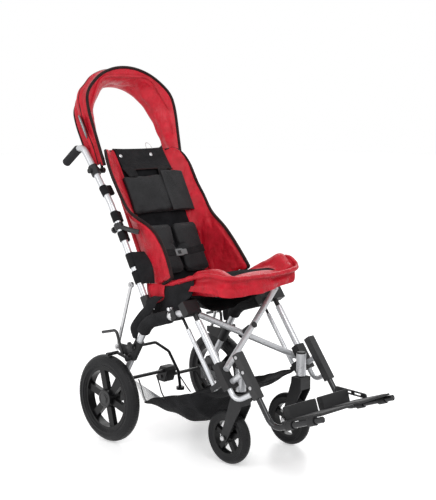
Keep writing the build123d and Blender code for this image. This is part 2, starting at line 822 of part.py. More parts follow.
# Side wings: padded panels that lie back beside the chest and stand up beside the hips
wing_stations = (
    (20, 172, 136),
    (60, 166, 133),
    (100, 160, 127),
    (140, 157, 117),
    (172, 157, 103),
    (204, 160, 82),
    (238, 167, 60),
    (270, 177, 47),
    (310, 180, 40),
    (350, 179, 32),
    (390, 178, 27),
    (424, 176, 24),
    (448, 170, 20),
    (486, 163, 11),
)
with BuildPart() as wing:
    for up, edge_x, edge_out in wing_stations:
        root = Vector(*wing_root, 0)
        edge = Vector(edge_x, edge_out, 0)
        run = (edge - root).normalized()
        square = Vector(run.Y, -run.X, 0) * (wing_thickness / 2)
        corners = (
            root - square,
            edge - square * wing_draw,
            edge + run * 4,
            edge + square * wing_draw,
            root + square,
        )
        with BuildSketch(back_plane(up)):
            with BuildLine():
                Polyline(*[(corner.X, corner.Y) for corner in corners], close=True)
            make_face()
    loft(ruled=True)
keep_pair(wing.part, "wing")

# Trunk wrap: a folded band across the chest
wrap_middle = back_set + back_thickness + seat_gap
wrap_rear = back_set + crown(wrap_half, back_half_width - 4, 14, back_thickness) + seat_gap
wrap_step = 2 * wrap_half / wrap_folds
with BuildPart() as trunk_wrap:
    with BuildSketch(back_plane(wrap_low)):
        with BuildLine():
            ThreePointArc(
                (-wrap_half, wrap_rear), (0, wrap_middle), (wrap_half, wrap_rear)
            )
            Line((wrap_half, wrap_rear), (wrap_half, wrap_front))
            for fold_index in range(wrap_folds):
                right = wrap_half - fold_index * wrap_step
                left = right - wrap_step
                middle = (right + left) / 2
                ThreePointArc((right, wrap_front), (middle, wrap_front + wrap_bulge), (left, wrap_front))
            Line((-wrap_half, wrap_front), (-wrap_half, wrap_rear))
        make_face()
    extrude(amount=-wrap_height)
keep(trunk_wrap.part, "trunk_wrap")

# Hip belt: two pads and the buckle between them
with BuildPart() as hip_belt:
    for side in (-1, 1):
        with BuildSketch(Plane(origin=at(0, *back_low), x_dir=(1, 0, 0), z_dir=back_front).offset(belt_rear)):
            with Locations((side * belt_middle, belt_up)):
                RectangleRounded(belt_width, belt_height, 16)
        extrude(amount=belt_thickness)
    fillet(hip_belt.edges().group_by(Axis(at(0, *back_low), back_front))[-1], 5)
    with BuildSketch(Plane(origin=at(0, *back_low), x_dir=(1, 0, 0), z_dir=back_front).offset(belt_rear + 3)):
        with Locations((0, belt_up - 10)):
            RectangleRounded(2 * belt_middle - belt_width + 12, 26, 5)
    extrude(amount=7)
keep(hip_belt.part, "hip_belt")

# Seat pad: raised rolls at the sides, a lower middle and a thick front
seat_stations = (
    (132, 501, 148, 530, 524),
    (200, 506, 160, 543, 532),
    (262, 511, 168, 556, 542),
    (322, 518, 171, 590, 566),
    (392, 524, 172, 604, 576),
    (452, 536, 164, 594, 576),
)
with BuildPart() as seat_pad:
    for ahead, low, half, side_top, middle_top in seat_stations:
        with BuildSketch(Plane(origin=at(0, ahead, 0), x_dir=(1, 0, 0), z_dir=(0, -1, 0))):
            roll = half * seat_roll_share
            channel = middle_top - 2
            with BuildLine():
                Line((-half + 6, low), (half - 6, low))
                ThreePointArc((half - 6, low), (half, (low + side_top) / 2 - 4), (half - 5, side_top - 8))
                ThreePointArc((half - 5, side_top - 8), (half - 22, side_top), (roll, channel))
                ThreePointArc((roll, channel), (0, middle_top + 5), (-roll, channel))
                ThreePointArc((-roll, channel), (-half + 22, side_top), (-half + 5, side_top - 8))
                ThreePointArc((-half + 5, side_top - 8), (-half, (low + side_top) / 2 - 4), (-half + 6, low))
            make_face()
    loft(ruled=True)
keep(seat_pad.part, "seat_pad")

# Seat sling under the pad, with flaps down to the rail covers
def seat_low(ahead):
    """The underside of the seat pad at a distance ahead of the axle."""
    for near, far in zip(seat_stations, seat_stations[1:]):
        if near[0] <= ahead <= far[0]:
            return near[1] + (far[1] - near[1]) * (ahead - near[0]) / (far[0] - near[0])
    return seat_stations[0][1]


def rail_at(ahead):
    """The height of the seat rail's axis at a distance ahead of the axle."""
    return rail_corner[1] + (ahead - rail_corner[0]) * rail_slope


flap_x = rail_x - rail_cover_radius - seat_gap
with BuildPart() as seat_sling:
    for ahead in (sling_rear, seat_stations[1][0], sling_flap_end):
        top = seat_low(ahead) - seat_gap
        foot = rail_at(ahead) + 4
        with BuildSketch(Plane(origin=at(0, ahead, 0), x_dir=(1, 0, 0), z_dir=(0, -1, 0))):
            with BuildLine():
                Polyline(
                    (-flap_x, foot),
                    (-sling_half, top),
                    (sling_half, top),
                    (flap_x, foot),
                    (flap_x - sling_thickness, foot),
                    (sling_half - sling_thickness, top - sling_thickness),
                    (-sling_half + sling_thickness, top - sling_thickness),
                    (-flap_x + sling_thickness, foot),
                    close=True,
                )
            make_face()
    loft(ruled=True)
    for ahead in (sling_flap_end, seat_stations[2][0], seat_stations[3][0], sling_front):
        top = seat_low(ahead) - seat_gap
        with BuildSketch(Plane(origin=at(0, ahead, 0), x_dir=(1, 0, 0), z_dir=(0, -1, 0))):
            with BuildLine():
                Polyline(
                    (-sling_half, top),
                    (sling_half, top),
                    (sling_half - sling_thickness, top - sling_thickness),
                    (-sling_half + sling_thickness, top - sling_thickness),
                    close=True,
                )
            make_face()
    loft(ruled=True)
keep(seat_sling.part, "seat_sling")

# Basket: a sagging hammock, open at the top, tied to the rear bars
basket_stations = (
    (58, 150, 118, 103),
    (140, 172, 152, 84),
    (240, 172, 178, 68),
    (300, 166, 194, 92),
    (350, 160, 212, 178),
    (420, 150, 238, 202),
    (466, 140, 250, 236),
)


def basket_section(ahead, half, rim, low, lift):
    """One slice of the basket: a hanging curve closed at the top."""
    with BuildSketch(Plane(origin=at(0, ahead, 0), x_dir=(1, 0, 0), z_dir=(0, -1, 0))) as slice_face:
        with BuildLine():
            ThreePointArc((-half, rim), (-half * 0.55, low + (rim - low) * 0.12), (0, low))
            ThreePointArc((0, low), (half * 0.55, low + (rim - low) * 0.12), (half, rim))
            if lift:
                Polyline((half, rim), (half, rim + lift), (-half, rim + lift), (-half, rim))
            else:
                Line((half, rim), (-half, rim))
        make_face()
    return slice_face.sketch


with BuildPart() as basket:
    loft([basket_section(*station, 0) for station in basket_stations], ruled=True)
    hollow = []
    for index, (ahead, half, rim, low) in enumerate(basket_stations):
        shift = basket_wall if index == 0 else -basket_wall if index == len(basket_stations) - 1 else 0
        hollow.append(basket_section(ahead + shift, half - basket_wall, rim, low + basket_wall, 10))
    loft(hollow, ruled=True, mode=Mode.SUBTRACT)
    rear_rim_point = (basket_stations[0][0] + basket_wall / 2, basket_stations[0][2] - 3)
    for side, bar_height in ((1, left_bar_height), (-1, right_bar_height)):
        for x in basket_tie_x:
            rod(
                at(side * x, *rear_rim_point),
                at(side * x, leg_at(bar_height) + 2, bar_height - bar_radius - 1),
                2,
            )
keep(basket.part, "basket")

# Canopy: a curved cover over one bent bow
hinge_ahead = push_at(canopy_hinge_height)


def lean_plane(ahead, height, lean):
    """An upright plane that leans back, with its second axis upward."""
    tilt = radians(lean)
    return Plane(origin=at(0, ahead, height), x_dir=(1, 0, 0), z_dir=(0, -cos(tilt), sin(tilt)))


def arch_edge(base, side, side_height, bend, corner, top):
    """Half of the arch outline at the right of the plane, then the top and the other half."""
    Line((base, 0), (side, side_height))
    ThreePointArc((side, side_height), bend, corner)
    ThreePointArc(corner, (0, top), (-corner[0], corner[1]))
    ThreePointArc((-corner[0], corner[1]), (-bend[0], bend[1]), (-side, side_height))
    Line((-side, side_height), (-base, 0))


def arch_band(plane, base, side, side_height, bend, corner, top):
    """A closed arch of the cover's thickness."""
    with BuildSketch(plane) as band:
        with BuildLine():
            wall = canopy_wall
            arch_edge(base, side, side_height, bend, corner, top)
            Line((-base, 0), (wall - base, 0))
            arch_edge(
                base - wall,
                side - wall,
                side_height,
                (bend[0] - wall * 0.8, bend[1] - wall * 0.6),
                (corner[0] - wall * 0.4, corner[1] - wall * 0.9),
                top - wall,
            )
            Line((base - wall, 0), (base, 0))
        make_face()
    return band.sketch


with BuildPart() as canopy_cover:
    loft(
        [
            arch_band(lean_plane(-104, canopy_low, 16.8), 178, 199, 196, (188, 258), (128, 316), 352),
            arch_band(lean_plane(-150, canopy_low, 19), 179, 201, 190, (190, 252), (130, 312), 342),
            arch_band(lean_plane(-188, canopy_low, 21.5), 176, 190, 150, (180, 206), (120, 262), 298),
        ]
    )
keep(canopy_cover.part, "canopy_cover")

with BuildPart() as canopy_bow:
    bow_plane = lean_plane(hinge_ahead, canopy_hinge_height, bow_lean)
    with BuildLine(bow_plane) as bow_route:
        FilletPolyline(
            (bow_half, 4),
            (bow_half + bow_spread, bow_side_height),
            (bow_top_half, bow_top),
            (-bow_top_half, bow_top),
            (-bow_half - bow_spread, bow_side_height),
            (-bow_half, 4),
            radius=bow_bend,
        )
    with BuildSketch(Plane(origin=bow_route.line @ 0, z_dir=bow_route.line % 0)):
        Circle(bow_radius)
    sweep(path=bow_route.line)
    for side in (-1, 1):
        eye_low = at(side * (bow_half - 6), hinge_ahead, canopy_hinge_height)
        eye_high = at(side * (bow_half + 5), hinge_ahead, canopy_hinge_height)
        rod(eye_low, eye_high, canopy_pin_radius + 5)
    rod(
        at(-push_x, hinge_ahead, canopy_hinge_height),
        at(push_x, hinge_ahead, canopy_hinge_height),
        canopy_pin_radius + running_gap,
        mode=Mode.SUBTRACT,
    )
keep(canopy_bow.part, "canopy_bow")
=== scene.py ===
"""Looks of a folding stroller for a child with special needs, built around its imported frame."""

from functools import partial
from math import cos, exp, pi, radians, sin

import bpy
from mathutils import Matrix, Vector, noise


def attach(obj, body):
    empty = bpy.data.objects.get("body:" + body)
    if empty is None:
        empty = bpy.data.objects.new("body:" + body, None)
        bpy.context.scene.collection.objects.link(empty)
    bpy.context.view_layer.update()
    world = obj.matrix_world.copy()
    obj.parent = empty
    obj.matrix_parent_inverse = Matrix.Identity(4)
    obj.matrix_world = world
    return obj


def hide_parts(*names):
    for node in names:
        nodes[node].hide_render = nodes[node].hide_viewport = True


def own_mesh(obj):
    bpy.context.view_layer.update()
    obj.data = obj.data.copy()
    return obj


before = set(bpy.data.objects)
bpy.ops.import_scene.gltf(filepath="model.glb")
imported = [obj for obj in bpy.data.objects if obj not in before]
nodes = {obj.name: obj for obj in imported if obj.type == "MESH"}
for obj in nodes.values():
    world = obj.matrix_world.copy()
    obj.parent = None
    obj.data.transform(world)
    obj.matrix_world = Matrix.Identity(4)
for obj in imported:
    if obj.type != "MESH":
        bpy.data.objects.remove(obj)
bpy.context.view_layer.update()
stage = bpy.context.scene
stage.view_settings.view_transform = "Standard"

SIDES = ("left", "right")
X_AXIS = Vector((1, 0, 0))

# Places in the frame, in millimetres
AXLE_Y = 270.7281
WHEEL_UP = 145
CASTER_AHEAD, CASTER_UP = 447, 86
PUSH_X = 200
PUSH_BEND_UP = 785
CANOPY_FOOT_UP = 906
RAIL_SLOPE = 0.324

# How much of its width a soft piece keeps when the frame is folded
FOLD_KEEP = 0.6
SEAT_KEEP = 0.56
BACK_KEEP = 0.52
CANOPY_KEEP = 0.52


def place(x, ahead, height):
    """A point given across, ahead of the rear axle and above the floor, in millimetres."""
    return Vector((x, AXLE_Y - ahead, height)) / 1000


# Camera and lamps


def look(name, data, spot, way):
    """Sets a camera or a lamp at a point, looking along a direction."""
    piece = bpy.data.objects.new(name, data)
    stage.collection.objects.link(piece)
    piece.location = spot
    piece.rotation_mode = "QUATERNION"
    piece.rotation_quaternion = Vector(way).to_track_quat("-Z", "Y")
    return piece


eye = bpy.data.cameras.new("eye")
eye.lens = 76.51
eye.sensor_width = 36.0
stage.camera = look("eye", eye, (-2.4157, -2.4216, 1.0855), (0.69833, 0.70406, -0.12909))


def lamp(name, spot, target, size, power):
    """A soft square lamp that looks at a point."""
    light = bpy.data.lights.new(name, "AREA")
    light.shape = "SQUARE"
    light.size = size
    light.energy = power
    look(name, light, spot, Vector(target) - Vector(spot))


lamp("key_lamp", (-1.2, -3.0, 3.2), (0, 0, 0.6), 2.4, 78)
lamp("fill_lamp", (-3.4, 0.6, 1.8), (0, 0, 0.6), 2.2, 34)
lamp("rim_lamp", (2.6, 1.6, 2.6), (0, 0, 0.7), 2.0, 36)

# Materials

MOTTLE = 0.75
RED, RED_DARK = (0.66, 0.010, 0.030), (0.44, 0.004, 0.014)
BLACK, BLACK_DARK = (0.018, 0.018, 0.020), (0.008, 0.008, 0.009)


def feed(tree, target, links):
    """Feeds a node's sockets from other sockets or with plain values."""
    for socket, source in links:
        if isinstance(source, bpy.types.NodeSocket):
            tree.links.new(source, target.inputs[socket])
        else:
            target.inputs[socket].default_value = source


def node(tree, kind, links=(), **settings):
    """A node with its settings, fed by (socket, source) pairs."""
    made = tree.nodes.new(kind)
    for key, value in settings.items():
        setattr(made, key, value)
    feed(tree, made, links)
    return made


def calc(tree, operation, *values):
    """One step of arithmetic."""
    return node(tree, "ShaderNodeMath", enumerate(values), operation=operation).outputs[0]


def vector_calc(tree, operation, *values):
    """One step of arithmetic on vectors."""
    return node(tree, "ShaderNodeVectorMath", enumerate(values), operation=operation).outputs


def ranged(tree, value, low, high, to_low=0.0, to_high=1.0, **settings):
    """A value carried from one range over to another."""
    ends = [("From Min", low), ("From Max", high), ("To Min", to_low), ("To Max", to_high)]
    return node(tree, "ShaderNodeMapRange", [("Value", value), *ends], **settings).outputs[0]


def cloud(tree, spot, scale, detail, rough=0.5, distortion=0.0):
    """An uneven drift."""
    links = [("Vector", spot), ("Scale", scale), ("Detail", detail), ("Roughness", rough), ("Distortion", distortion)]
    return node(tree, "ShaderNodeTexNoise", links).outputs["Fac"]


def bumped(tree, strength, distance, height, under=None):
    """A relief, on top of another one where that is given."""
    links = [("Strength", strength), ("Distance", distance), ("Height", height)]
    if under is not None:
        links.append(("Normal", under))
    return node(tree, "ShaderNodeBump", links).outputs[0]


def blend(tree, share, first, second):
    """A colour between two others."""
    ends = [end if isinstance(end, bpy.types.NodeSocket) else (*end, 1) for end in (first, second)]
    return node(tree, "ShaderNodeMix", [(0, share), (6, ends[0]), (7, ends[1])], data_type="RGBA").outputs[2]


def axes_of(tree, spot):
    """The three coordinates of a place."""
    return node(tree, "ShaderNodeSeparateXYZ", [("Vector", spot)]).outputs


def group(name, vectors, values, outputs):
    """An empty node group, with the sockets that it is given and the node that it fills."""
    made = bpy.data.node_groups.new(name, "ShaderNodeTree")
    for way, kind, labels in (("INPUT", "Vector", vectors), ("INPUT", "Float", values), ("OUTPUT", "Float", outputs)):
        for label in labels:
            made.interface.new_socket(label, in_out=way, socket_type=f"NodeSocket{kind}")
    return made, made.nodes.new("NodeGroupInput").outputs, made.nodes.new("NodeGroupOutput")


def build_weave():
    """Crossed threads at a given pitch, with uneven yarn."""
    tree, given, out = group("weave", ["Vector"], ["Pitch", "Mottle"], ["Height", "Tone"])
    spin = [("Vector", given["Vector"]), ("Rotation", (0.62, 0.48, 0.81))]
    turned = node(tree, "ShaderNodeMapping", spin).outputs[0]
    threads = [("Vector", turned), ("Scale", given["Pitch"]), ("Distortion", 0.6)]
    warp = node(tree, "ShaderNodeTexWave", threads, bands_direction="X").outputs["Fac"]
    weft = node(tree, "ShaderNodeTexWave", threads, bands_direction="Y").outputs["Fac"]
    cross = calc(tree, "MULTIPLY", warp, weft)
    shade = ranged(tree, cloud(tree, given["Vector"], 38.0, 5.0), 0.3, 0.7)
    part = calc(tree, "MULTIPLY", shade, given["Mottle"])
    feed(tree, out, [("Height", cross), ("Tone", calc(tree, "MULTIPLY_ADD", cross, 0.25, part))])
    return tree


def build_creases():
    """Soft creases of a thin cloth, drawn out along one direction."""
    tree, given, out = group("creases", ["Vector", "Stretch"], ["Size"], ["Height", "Mask"])
    drawn = vector_calc(tree, "MULTIPLY", given["Vector"], given["Stretch"])[0]
    swell = cloud(tree, drawn, given["Size"], 3.0, distortion=0.9)
    ridge = ranged(tree, swell, 0.36, 0.64, interpolation_type="SMOOTHSTEP")
    feed(tree, out, [("Height", swell), ("Mask", ridge)])
    return tree


def build_scuffs():
    """Fine handling marks and a slow drift of gloss."""
    tree, given, out = group("scuffs", ["Vector"], ["Grain", "Low", "High"], ["Roughness", "Height", "Mask"])
    drift = cloud(tree, given["Vector"], 22.0, 8.0, rough=0.65)
    grain = cloud(tree, given["Vector"], given["Grain"], 2.0)
    gloss = ranged(tree, drift, 0.3, 0.7, given["Low"], given["High"])
    feed(tree, out, [("Roughness", gloss), ("Height", grain), ("Mask", ranged(tree, drift, 0.6, 0.75))])
    return tree


weave_group = build_weave()
crease_group = build_creases()
scuff_group = build_scuffs()


def finish(name):
    """An empty material with its shader and the piece's own coordinates."""
    made = bpy.data.materials.new(name)
    made.use_nodes = True
    tree = made.node_tree
    return made, tree, tree.nodes["Principled BSDF"], tree.nodes.new("ShaderNodeTexCoord").outputs["Object"]


def placed(tree, kind, links):
    """What a shared effect puts out in a material."""
    return node(tree, "ShaderNodeGroup", links, node_tree=kind).outputs


def fabric(tree, spot, pitch, crease, crease_depth, thread_depth, stretch):
    """A weave with creases: its tone, the mask of its creases and its relief."""
    threads = placed(tree, weave_group, [("Vector", spot), ("Pitch", pitch), ("Mottle", MOTTLE)])
    folds = placed(tree, crease_group, [("Vector", spot), ("Size", crease), ("Stretch", stretch)])
    broad = bumped(tree, 0.6, crease_depth, folds["Height"])
    return threads["Tone"], folds["Mask"], bumped(tree, 0.5, thread_depth, threads["Height"], broad)


def cloth(name, light, dark, rough, pitch, crease, crease_depth, thread_depth, sheen, stretch=(1, 1, 1), gleam=0.2):
    """Woven cloth with creases and a slight sheen."""
    made, tree, shader, spot = finish(name)
    tone, creased, relief = fabric(tree, spot, pitch, crease, crease_depth, thread_depth, stretch)
    feed(tree, shader, [
        ("Base Color", blend(tree, tone, dark, light)), ("Normal", relief),
        ("Roughness", ranged(tree, creased, 0.0, 1.0, rough, rough + 0.12)),
        ("Sheen Weight", sheen), ("Sheen Roughness", 0.4), ("Specular IOR Level", gleam),
    ])
    return made


def hard(name, colour, mark, low, high, metal, grain, grain_depth, coat=0.0, gleam=0.5):
    """A hard finish with drifting gloss, light marks and a fine grain."""
    made, tree, shader, spot = finish(name)
    marks = placed(tree, scuff_group, [("Vector", spot), ("Grain", grain), ("Low", low), ("High", high)])
    feed(tree, shader, [
        ("Base Color", blend(tree, marks["Mask"], colour, mark)),
        ("Roughness", marks["Roughness"]),
        ("Normal", bumped(tree, 0.35, grain_depth, marks["Height"])),
        ("Metallic", metal), ("Coat Weight", coat), ("Coat Roughness", 0.15), ("Specular IOR Level", gleam),
    ])
    return made


red_nylon = cloth("red_nylon", RED, RED_DARK, 0.36, 420, 16, 0.016, 0.0004, 0.02, (1, 1, 0.6), 0.28)
red_lining = cloth(
    "red_lining", (0.72, 0.012, 0.034), (0.50, 0.005, 0.018), 0.3, 420, 13, 0.022, 0.0004, 0.02, (1, 1, 0.5), 0.36
)
black_canvas = cloth("black_canvas", BLACK, BLACK_DARK, 0.72, 330, 12, 0.008, 0.0005, 0.03, gleam=0.14)
jersey = cloth("jersey", (0.017, 0.017, 0.019), BLACK_DARK, 0.55, 620, 9, 0.004, 0.0003, 0.06, gleam=0.24)
binding_tape = cloth(
    "binding_tape", (0.034, 0.014, 0.014), (0.010, 0.005, 0.005), 0.6, 520, 40, 0.001, 0.0006, 0.03, gleam=0.15
)
webbing = cloth(
    "webbing", (0.016, 0.016, 0.017), (0.006, 0.006, 0.007), 0.66, 300, 30, 0.001, 0.0008, 0.03, gleam=0.15
)
grey_net = cloth("grey_net", (0.42, 0.43, 0.44), (0.30, 0.31, 0.32), 0.6, 500, 30, 0.001, 0.0003, 0.1)
pearl_paint = hard("pearl_paint", (0.60, 0.61, 0.63), (0.575, 0.585, 0.605), 0.24, 0.34, 0.4, 700, 0.00003, 0.2)
bright_chrome = hard("bright_chrome", (0.62, 0.62, 0.64), (0.52, 0.52, 0.54), 0.06, 0.16, 1.0, 500, 0.00003)
dark_chrome = hard("dark_chrome", (0.030, 0.030, 0.032), (0.045, 0.045, 0.047), 0.08, 0.16, 0.5, 500, 0.00003)
zinc_plate = hard("zinc_plate", (0.56, 0.56, 0.57), (0.46, 0.46, 0.46), 0.26, 0.42, 0.9, 800, 0.00005)
black_coat = hard(
    "black_coat", (0.012, 0.012, 0.013), (0.026, 0.026, 0.027), 0.3, 0.46, 0.0, 1300, 0.0002, 0.15, 0.4
)
black_nylon = hard(
    "black_nylon", (0.013, 0.013, 0.014), (0.024, 0.024, 0.025), 0.42, 0.58, 0.0, 1500, 0.0003, 0.0, 0.35
)
rim_black = hard(
    "rim_black", (0.006, 0.006, 0.0065), (0.011, 0.011, 0.012), 0.24, 0.38, 0.0, 900, 0.0001, 0.0, 0.2
)
grey_plastic = hard("grey_plastic", (0.16, 0.165, 0.17), (0.22, 0.225, 0.23), 0.35, 0.5, 0.0, 1200, 0.0002)
foam_grip = hard(
    "foam_grip", (0.020, 0.020, 0.022), (0.036, 0.036, 0.038), 0.75, 0.9, 0.0, 2200, 0.0006, 0.0, 0.25
)


def build_tyre(name, ahead, height, crown, blocks):
    """Rubber with tread blocks on its crown, rings on its walls and a dusty bloom."""
    made, tree, shader, spot = finish(name)
    marks = placed(tree, scuff_group, [("Vector", spot), ("Grain", 1400.0), ("Low", 0.36), ("High", 0.56)])
    hub = (0, (ahead - AXLE_Y) / 1000, -height / 1000)
    centre = node(tree, "ShaderNodeMapping", [("Vector", spot), ("Location", hub)]).outputs[0]
    axes = axes_of(tree, centre)
    turn = calc(tree, "ARCTAN2", axes["Z"], axes["Y"])
    block = ranged(tree, calc(tree, "SINE", calc(tree, "MULTIPLY", turn, float(blocks))), -0.35, 0.0)
    flat = vector_calc(tree, "MULTIPLY", centre, (0, 1, 1))[0]
    reach = vector_calc(tree, "LENGTH", flat)["Value"]
    cut_in = calc(tree, "MULTIPLY", block, ranged(tree, reach, crown - 0.006, crown - 0.004))
    walls = ranged(tree, calc(tree, "SINE", calc(tree, "MULTIPLY", reach, 900.0)), 0.6, 1.0, 0.0, 0.5)
    shape = bumped(tree, 0.8, 0.0016, calc(tree, "ADD", cut_in, walls))
    feed(tree, shader, [
        ("Base Color", blend(tree, marks["Mask"], BLACK_DARK, (0.018, 0.0175, 0.0175))),
        ("Roughness", marks["Roughness"]),
        ("Normal", bumped(tree, 0.4, 0.0003, marks["Height"], shape)),
        ("Specular IOR Level", 0.22),
    ])
    return made


rear_rubber = build_tyre("rear_rubber", 0, WHEEL_UP, WHEEL_UP / 1000, 72)
caster_rubber = build_tyre("caster_rubber", CASTER_AHEAD, CASTER_UP, CASTER_UP / 1000, 48)


def build_bow():
    """The canopy's bow: a red sleeve on a black foot."""
    made, tree, shader, spot = finish("bow_sleeve")
    threads = placed(tree, weave_group, [("Vector", spot), ("Pitch", 420.0), ("Mottle", MOTTLE)])
    red = blend(tree, threads["Tone"], RED_DARK, RED)
    high = ranged(tree, axes_of(tree, spot)["Z"], 0.918, 0.919)
    feed(tree, shader, [
        ("Base Color", blend(tree, high, (0.013, 0.013, 0.014), red)),
        ("Normal", bumped(tree, 0.4, 0.0004, threads["Height"])),
        ("Roughness", 0.5),
    ])
    return made


def build_two_tone(name, half, rear):
    """Red nylon with a sewn black middle, as wide as twice the half and behind a line across."""
    made, tree, shader, spot = finish(name)
    tone, _, relief = fabric(tree, spot, 400.0, 15.0, 0.012, 0.0004, (1, 1, 1))
    red, black = blend(tree, tone, RED_DARK, RED), blend(tree, tone, BLACK_DARK, BLACK)
    axes = axes_of(tree, spot)
    inside = ranged(tree, calc(tree, "ABSOLUTE", axes["X"]), half, half + 0.001, 1.0, 0.0)
    mask = calc(tree, "MULTIPLY", inside, ranged(tree, axes["Y"], rear, rear + 0.001))
    feed(tree, shader, [
        ("Base Color", blend(tree, mask, red, black)), ("Normal", relief),
        ("Roughness", ranged(tree, mask, 0.0, 1.0, 0.4, 0.85)),
        ("Specular IOR Level", ranged(tree, mask, 0.0, 1.0, 0.3, 0.04)),
    ])
    return made


# Floor and sky


def seen(tree):
    """One for what the eye sees, straight, mirrored or through glass, and zero for other light."""
    path = node(tree, "ShaderNodeLightPath").outputs
    straight = calc(tree, "MAXIMUM", path["Is Camera Ray"], path["Is Glossy Ray"])
    return calc(tree, "MAXIMUM", straight, path["Is Transmission Ray"])


def build_floor():
    """White studio floor that keeps the shadow."""
    made, tree, shader, spot = finish("studio_floor")
    feed(tree, shader, [
        ("Base Color", blend(tree, cloud(tree, spot, 1.5, 2.0), (0.93, 0.93, 0.94), (0.95, 0.95, 0.95))),
        ("Roughness", 0.3),
        ("Emission Strength", ranged(tree, seen(tree), 0.0, 1.0, 0.0, 0.44)),
        ("Emission Color", (1, 1, 1, 1)),
    ])
    return made


def named(name):
    """The piece that an operator has just made, under its name."""
    piece = bpy.context.object
    piece.name = name
    return piece


bpy.ops.object.select_all(action="DESELECT")
bpy.ops.mesh.primitive_plane_add(size=40, location=(0, 0, -0.0006))
floor = named("floor")
floor.data.materials.append(build_floor())

sky = bpy.data.worlds.new("sky")
stage.world = sky
sky.use_nodes = True
sky_tree = sky.node_tree
sky_power = ranged(sky_tree, seen(sky_tree), 0.0, 1.0, 0.5, 1.0)
feed(sky_tree, sky_tree.nodes["Background"], [("Strength", sky_power), ("Color", (1, 1, 1, 1))])

# Finishes of the CAD pieces that stay


def coat(piece, material):
    """Gives a piece one finish."""
    piece.data.materials.clear()
    piece.data.materials.append(material)


def both(*names):
    """The names of a piece on both sides."""
    return [f"{side}_{name}" for side in SIDES for name in names]


FINISHES = (
    (pearl_paint, both("push_tube", "rear_leg", "front_leg", "caster_housing")),
    (pearl_paint, ["front_cross_tube", "rear_cross_tube"]),
    (zinc_plate, both("rear_stay")),
    (dark_chrome, both("foot_tube")),
    (black_coat, both("rear_axle", "brake_lever", "foot_channel") + ["release_lever", "left_foot_brace"]),
    (black_nylon, both("frame_brackets", "canopy_clamp", "leg_sleeve", "front_hub", "caster_fork", "foot_plate")),
    (black_nylon, ["lock_plate", "cross_pin"]),
    (rim_black, both("rear_rim", "caster_rim")),
    (rear_rubber, both("rear_tyre")),
    (caster_rubber, both("caster_tyre")),
    (foam_grip, both("grip")),
)
for material, names in FINISHES:
    for name in names:
        coat(nodes[name], material)

# Ways of making the pieces


def pick(*pieces):
    """Selects these pieces alone, the first as the active one."""
    bpy.ops.object.select_all(action="DESELECT")
    for piece in pieces:
        piece.select_set(True)
    bpy.context.view_layer.objects.active = pieces[0]


def use(piece, kind, **settings):
    """Adds a modifier with its settings and applies it."""
    step = piece.modifiers.new(kind.lower(), kind)
    for key, value in settings.items():
        setattr(step, key, value)
    pick(piece)
    bpy.ops.object.modifier_apply(modifier=step.name)


def shaded(piece, angle=None):
    """Shades a piece smooth, only up to an angle in degrees where one is given."""
    pick(piece)
    if angle is None:
        bpy.ops.object.shade_smooth()
    else:
        bpy.ops.object.shade_smooth_by_angle(angle=radians(angle))
    return piece


def flip(*pieces):
    """Moves pieces over to the other side."""
    for piece in pieces:
        piece.data.transform(Matrix.Scale(-1, 4, (1, 0, 0)))
        piece.data.flip_normals()


def stand(piece, spot, axis):
    """Turns a piece's height on to an axis and sets it at a point."""
    turn = Vector(axis).normalized().to_track_quat("Z", "Y").to_matrix().to_4x4()
    piece.data.transform(Matrix.Translation(Vector(spot)) @ turn)


def cubic(a, b, c, d, t):
    """A place between b and c, on a smooth line from a to d."""
    return 0.5 * (2 * b + (c - a) * t + (2 * a - 5 * b + 4 * c - d) * (t * t) + (3 * b - a - 3 * c + d) * t**3)


def smooth_at(points, share):
    """A point on a smooth line through the given points, by share of its length."""
    steps = [0.0]
    for first, second in zip(points, points[1:]):
        steps.append(steps[-1] + (Vector(second) - Vector(first)).length)
    goal = min(max(share, 0.0), 1.0) * steps[-1]
    index = 0
    while index < len(points) - 2 and steps[index + 1] < goal:
        index += 1
    t = (goal - steps[index]) / max(steps[index + 1] - steps[index], 1e-9)
    b, c = Vector(points[index]), Vector(points[index + 1])
    a = Vector(points[index - 1]) if index else b * 2 - c
    d = Vector(points[index + 2]) if index + 2 < len(points) else c * 2 - b
    return cubic(a, b, c, d, t)


def row_at(rows, share):
    """A row of numbers on a smooth line through evenly spaced rows."""
    spot = min(max(share, 0.0), 1.0) * (len(rows) - 1)
    index = min(int(spot), len(rows) - 2)
    before, after = rows[max(index - 1, 0)], rows[min(index + 2, len(rows) - 1)]
    columns = zip(before, rows[index], rows[index + 1], after)
    return [cubic(*column, spot - index) for column in columns]


def ripple(spot, size, depth):
    """A steady uneven swell, the same on every run."""
    return depth * noise.noise(spot * size)


def grid(name, across, along, surface):
    """A grid laid on a surface."""
    bpy.ops.mesh.primitive_grid_add(x_subdivisions=across, y_subdivisions=along, size=2, location=(0, 0, 0))
    piece = named(name)
    for point in piece.data.vertices:
        point.co = surface((point.co.x + 1) / 2, (point.co.y + 1) / 2)
    return piece


def cloth_sheet(name, across, along, surface, material, thickness=0.0016, rounds=1):
    """A sheet of cloth laid on a surface, with its thickness."""
    piece = grid(name, across, along, surface)
    coat(piece, material)
    use(piece, "SOLIDIFY", thickness=thickness, offset=0)
    if rounds:
        use(piece, "SUBSURF", levels=rounds, render_levels=rounds)
    return shaded(piece)


def cloth_area(surface, across, along):
    """The area of a cloth surface in square metres."""
    total = 0.0
    spots = [[surface(i / across, j / along) for j in range(along + 1)] for i in range(across + 1)]
    for i in range(across):
        for j in range(along):
            a, b, c, d = spots[i][j], spots[i + 1][j], spots[i + 1][j + 1], spots[i][j + 1]
            total += ((b - a).cross(c - a).length + (c - a).cross(d - a).length) / 2
    return total


